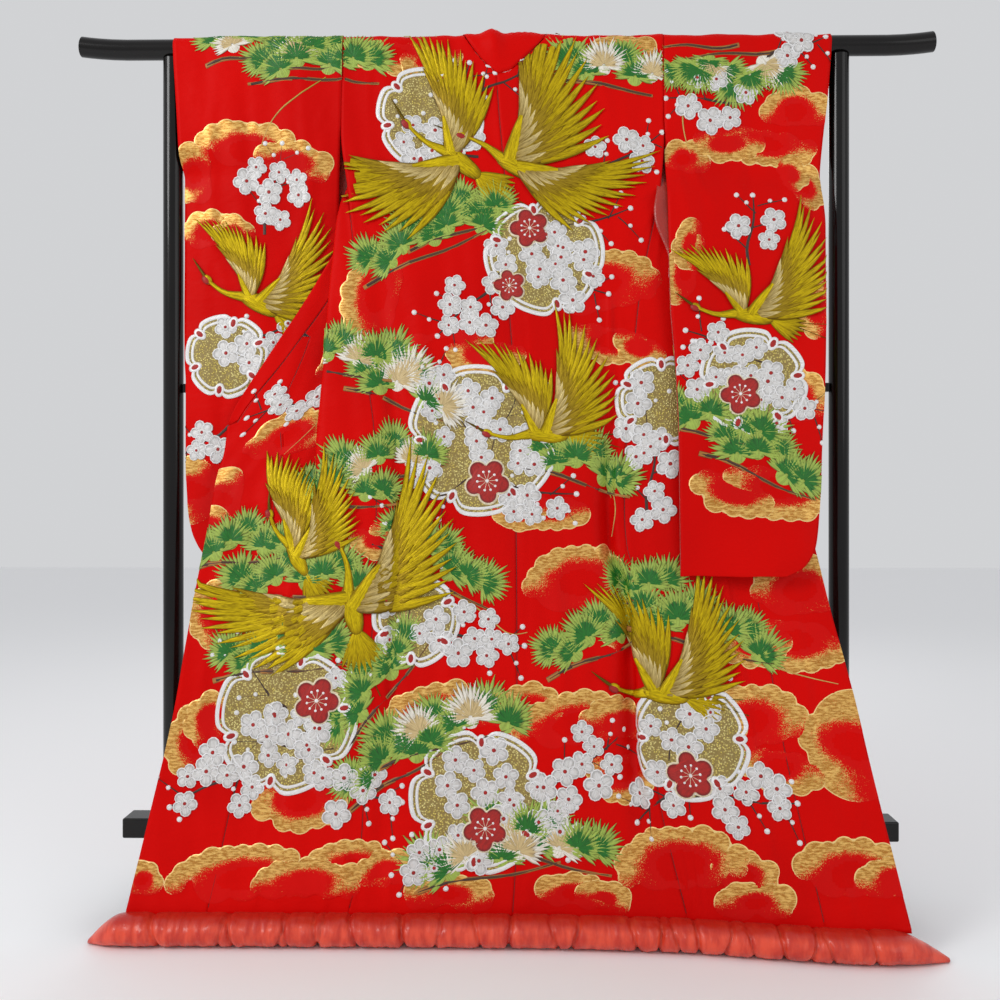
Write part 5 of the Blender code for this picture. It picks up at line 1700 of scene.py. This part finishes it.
# Pines: tufts, turn, size, and which third of the tufts is pale, if any
PINES = placed(
    ("sleeve_left", [(-0.385, 1.668, 5, 2, 0.044, 0), (-0.4, 1.69, 3, 4, 0.042, 1),
                     (-0.53, 1.712, 3, 8, 0.04, 1)]),
    ("body", [(-0.312, 1.672, 3, -14, 0.044, 0)]),
    ("sleeve_right", [(0.392, 1.705, 3, 178, 0.04, 0), (0.47, 1.69, 4, 184, 0.04, 1),
                      (0.403, 0.943, 4, -12, 0.042, 0), (0.482, 0.868, 4, -25, 0.042, 0)]),
    ("body", [(0.257, 1.642, 6, -10, 0.042, 2), (-0.154, 1.307, 6, 24, 0.044, 0),
              (-0.095, 1.352, 4, 18, 0.042, 0), (-0.322, 1.067, 6, -6, 0.044, 1),
              (-0.223, 1.007, 4, -20, 0.044, 2), (-0.249, 0.867, 4, 10, 0.042, 1),
              (0.125, 0.857, 4, -16, 0.044, 0), (-0.547, 0.702, 4, 6, 0.042, 0),
              (-0.425, 0.637, 6, 4, 0.044, 0), (-0.345, 0.812, 4, 0, 0.042, 0),
              (-0.165, 0.677, 5, -30, 0.044, 0), (-0.253, 0.452, 5, 50, 0.044, 0),
              (-0.457, 0.497, 5, 6, 0.044, 0), (-0.127, 0.362, 6, 16, 0.044, 2),
              (-0.225, 0.302, 4, 30, 0.042, 0), (0.044, 0.162, 5, -14, 0.046, 1),
              (-0.056, 0.127, 5, 10, 0.046, 2), (0.158, 0.527, 4, 20, 0.042, 0),
              (0.367, 0.547, 6, -14, 0.044, 0), (0.258, 0.622, 3, 0, 0.042, 0)]),
    ("sleeve_left", [(-0.52, 2.08, 4, 186, 0.042, 0)]),
    ("sleeve_right", [(0.42, 2.47, 4, 170, 0.042, 0)]),
)
for motif in PINES:
    pine(*motif)

# Plum sprays: turn and flowers
SPRAYS = placed(
    ("sleeve_left", [(-0.47, 1.425, 70, 5), (-0.601, 0.93, 200, 2), (-0.5, 1.135, 20, 5),
                     (-0.4, 1.12, 60, 3)]),
    ("sleeve_right", [(0.415, 1.608, 170, 4), (0.572, 1.712, 10, 2), (0.479, 1.328, 75, 3),
                      (0.446, 1.098, 150, 5), (0.516, 1.003, -20, 5), (0.385, 1.04, 70, 2)]),
    ("body", [(-0.126, 1.517, 155, 5), (-0.09, 1.6, 60, 4), (0.0, 1.642, 20, 3), (0.233, 1.487, 25, 5),
              (0.145, 1.357, 10, 5), (-0.068, 1.202, 215, 5), (0.03, 1.29, 30, 5), (0.11, 1.25, -30, 4),
              (-0.575, 1.0, 190, 3), (-0.167, 0.812, 200, 5), (0.009, 0.832, -12, 6),
              (-0.115, 0.987, 120, 5), (-0.02, 0.96, 60, 5), (0.12, 0.317, 30, 5), (0.422, 0.262, -10, 5),
              (-0.562, 0.282, 200, 5), (-0.432, 0.347, 170, 6), (-0.38, 0.42, 60, 4), (0.275, 0.847, 80, 4),
              (0.262, 0.967, 100, 4), (-0.069, 0.287, 120, 6), (-0.139, 0.147, 190, 4),
              (-0.205, 0.592, 80, 4), (-0.089, 0.547, -14, 5), (0.33, 0.402, 60, 5), (0.3, 0.27, 210, 4),
              (-0.305, 0.267, -20, 4), (-0.5, 0.47, 130, 5), (0.02, 0.23, -20, 4)]),
    ("sleeve_left", [(-0.4, 2.12, 20, 5), (-0.54, 2.3, 150, 5)]),
    ("sleeve_right", [(0.54, 2.11, 20, 5), (0.42, 2.26, 150, 5)]),
    ("sleeve_left", [(-0.45, 2.68, 10, 4)]),
    ("sleeve_right", [(0.45, 2.7, 10, 4)]),
)
for motif in SPRAYS:
    plum_spray(*motif)

for motif in RED_PLUMS:
    red_plum(*motif)

for motif in CRANES:
    crane(*motif)

# Loose gold threads that drift between the motifs
for thread_face, line in [
    ("body", [(0.1, 0.9), (0.18, 0.86), (0.22, 0.8), (0.2, 0.74)]),
    ("body", [(-0.4, 1.16), (-0.44, 1.05), (-0.5, 1.0), (-0.52, 0.9)]),
    ("sleeve_left", [(-0.36, 1.66), (-0.42, 1.62), (-0.47, 1.58), (-0.49, 1.52)]),
    ("sleeve_right", [(0.4, 1.66), (0.36, 1.62), (0.35, 1.56), (0.37, 1.5)]),
    ("body", [(-0.14, 0.64), (-0.06, 0.6), (-0.02, 0.55), (0.02, 0.56)]),
    ("body", [(0.38, 0.54), (0.46, 0.52), (0.52, 0.49), (0.62, 0.47)]),
]:
    strip(twigs, Spot(thread_face), line, [0.0014, 0.0018, 0.0008], 0.0007, 0.0006,
          [THREAD, GOLD_LIGHT[:3]], LOOP)

# Seams: the centre back, and on each side the side seam, the overlap's seam and the collar's
seam_lines = Needlework("seam_lines", SILK_FLOSS)
SEAM_RED = (0.1, 0.001, 0.001)
SEAM_FROM = 0.055
CENTRE_SEAM_TOP = 1.63
SIDE_SEAM_TOP = 1.42
COLLAR_SEAM_TOP = 1.7


def seam_line(line):
    """A sewn seam of the body, as a fine dark line."""
    strip(seam_lines, Spot("body"), line, [0.0007, 0.0007], 0.0003, 0.0002, [SEAM_RED, SEAM_RED],
          SEAM_STRIP)


seam_line([(0.0, v) for v in np.linspace(SEAM_FROM, CENTRE_SEAM_TOP, 12)])
for side in SIGN:
    overlap_seam, collar_seam = seams[side].T
    for places, low, top, every in ((backs[side].ends, SEAM_FROM, SIDE_SEAM_TOP, 8),
                                    (overlap_seam, SEAM_FROM, OKUMI_TOP_Z, 6),
                                    (collar_seam, COLLAR_END_Z, COLLAR_SEAM_TOP, 6)):
        seam_line([(u, v) for u, v in zip(places, BODY_V) if low < v < top][::every])

for work in (clouds, rings_fill, silver, plums, red_plums, pines, twigs, cranes, seam_lines):
    work.lay()

# Studio
FLOOR_PALE = (0.92, 0.92, 0.93, 1.0)
SKY_PALE = (0.9, 0.91, 0.93, 1.0)
SKY_STRENGTH = 0.71
floor_mesh = bmesh.new()
bmesh.ops.create_grid(floor_mesh, x_segments=2, y_segments=2, size=9.0)
bmesh.ops.translate(floor_mesh, vec=(0.0, 0.0, -0.0006), verts=floor_mesh.verts)
floor = put("floor", settled("floor", floor_mesh, smooth_faces=False))
floor.data.materials.append(Finish("pale_floor", Roughness=0.6, Base_Color=FLOOR_PALE).material)

world = bpy.data.worlds.new("studio")
bpy.context.scene.world = world
world.use_nodes = True
world.node_tree.nodes["Background"].inputs["Color"].default_value = SKY_PALE
world.node_tree.nodes["Background"].inputs["Strength"].default_value = SKY_STRENGTH


def lamp(name, place, aim, size, power):
    """A soft round lamp that is turned to its aim."""
    light = bpy.data.lights.new(name, "AREA")
    light.shape = "DISK"
    light.size = size
    light.energy = power
    made = put(name, light)
    made.location = place
    made.rotation_euler = (Vector(aim) - Vector(place)).to_track_quat("-Z", "Y").to_euler()


lamp("key", (-2.8, -2.3, 2.8), (0.0, 0.0, 0.95), 1.5, 56.0)
lamp("fill", (2.8, -2.6, 2.2), (0.0, 0.0, 0.8), 2.4, 16.0)
lamp("back_light", (0.4, 2.8, 3.0), (0.0, 0.0, 1.0), 2.0, 20.0)
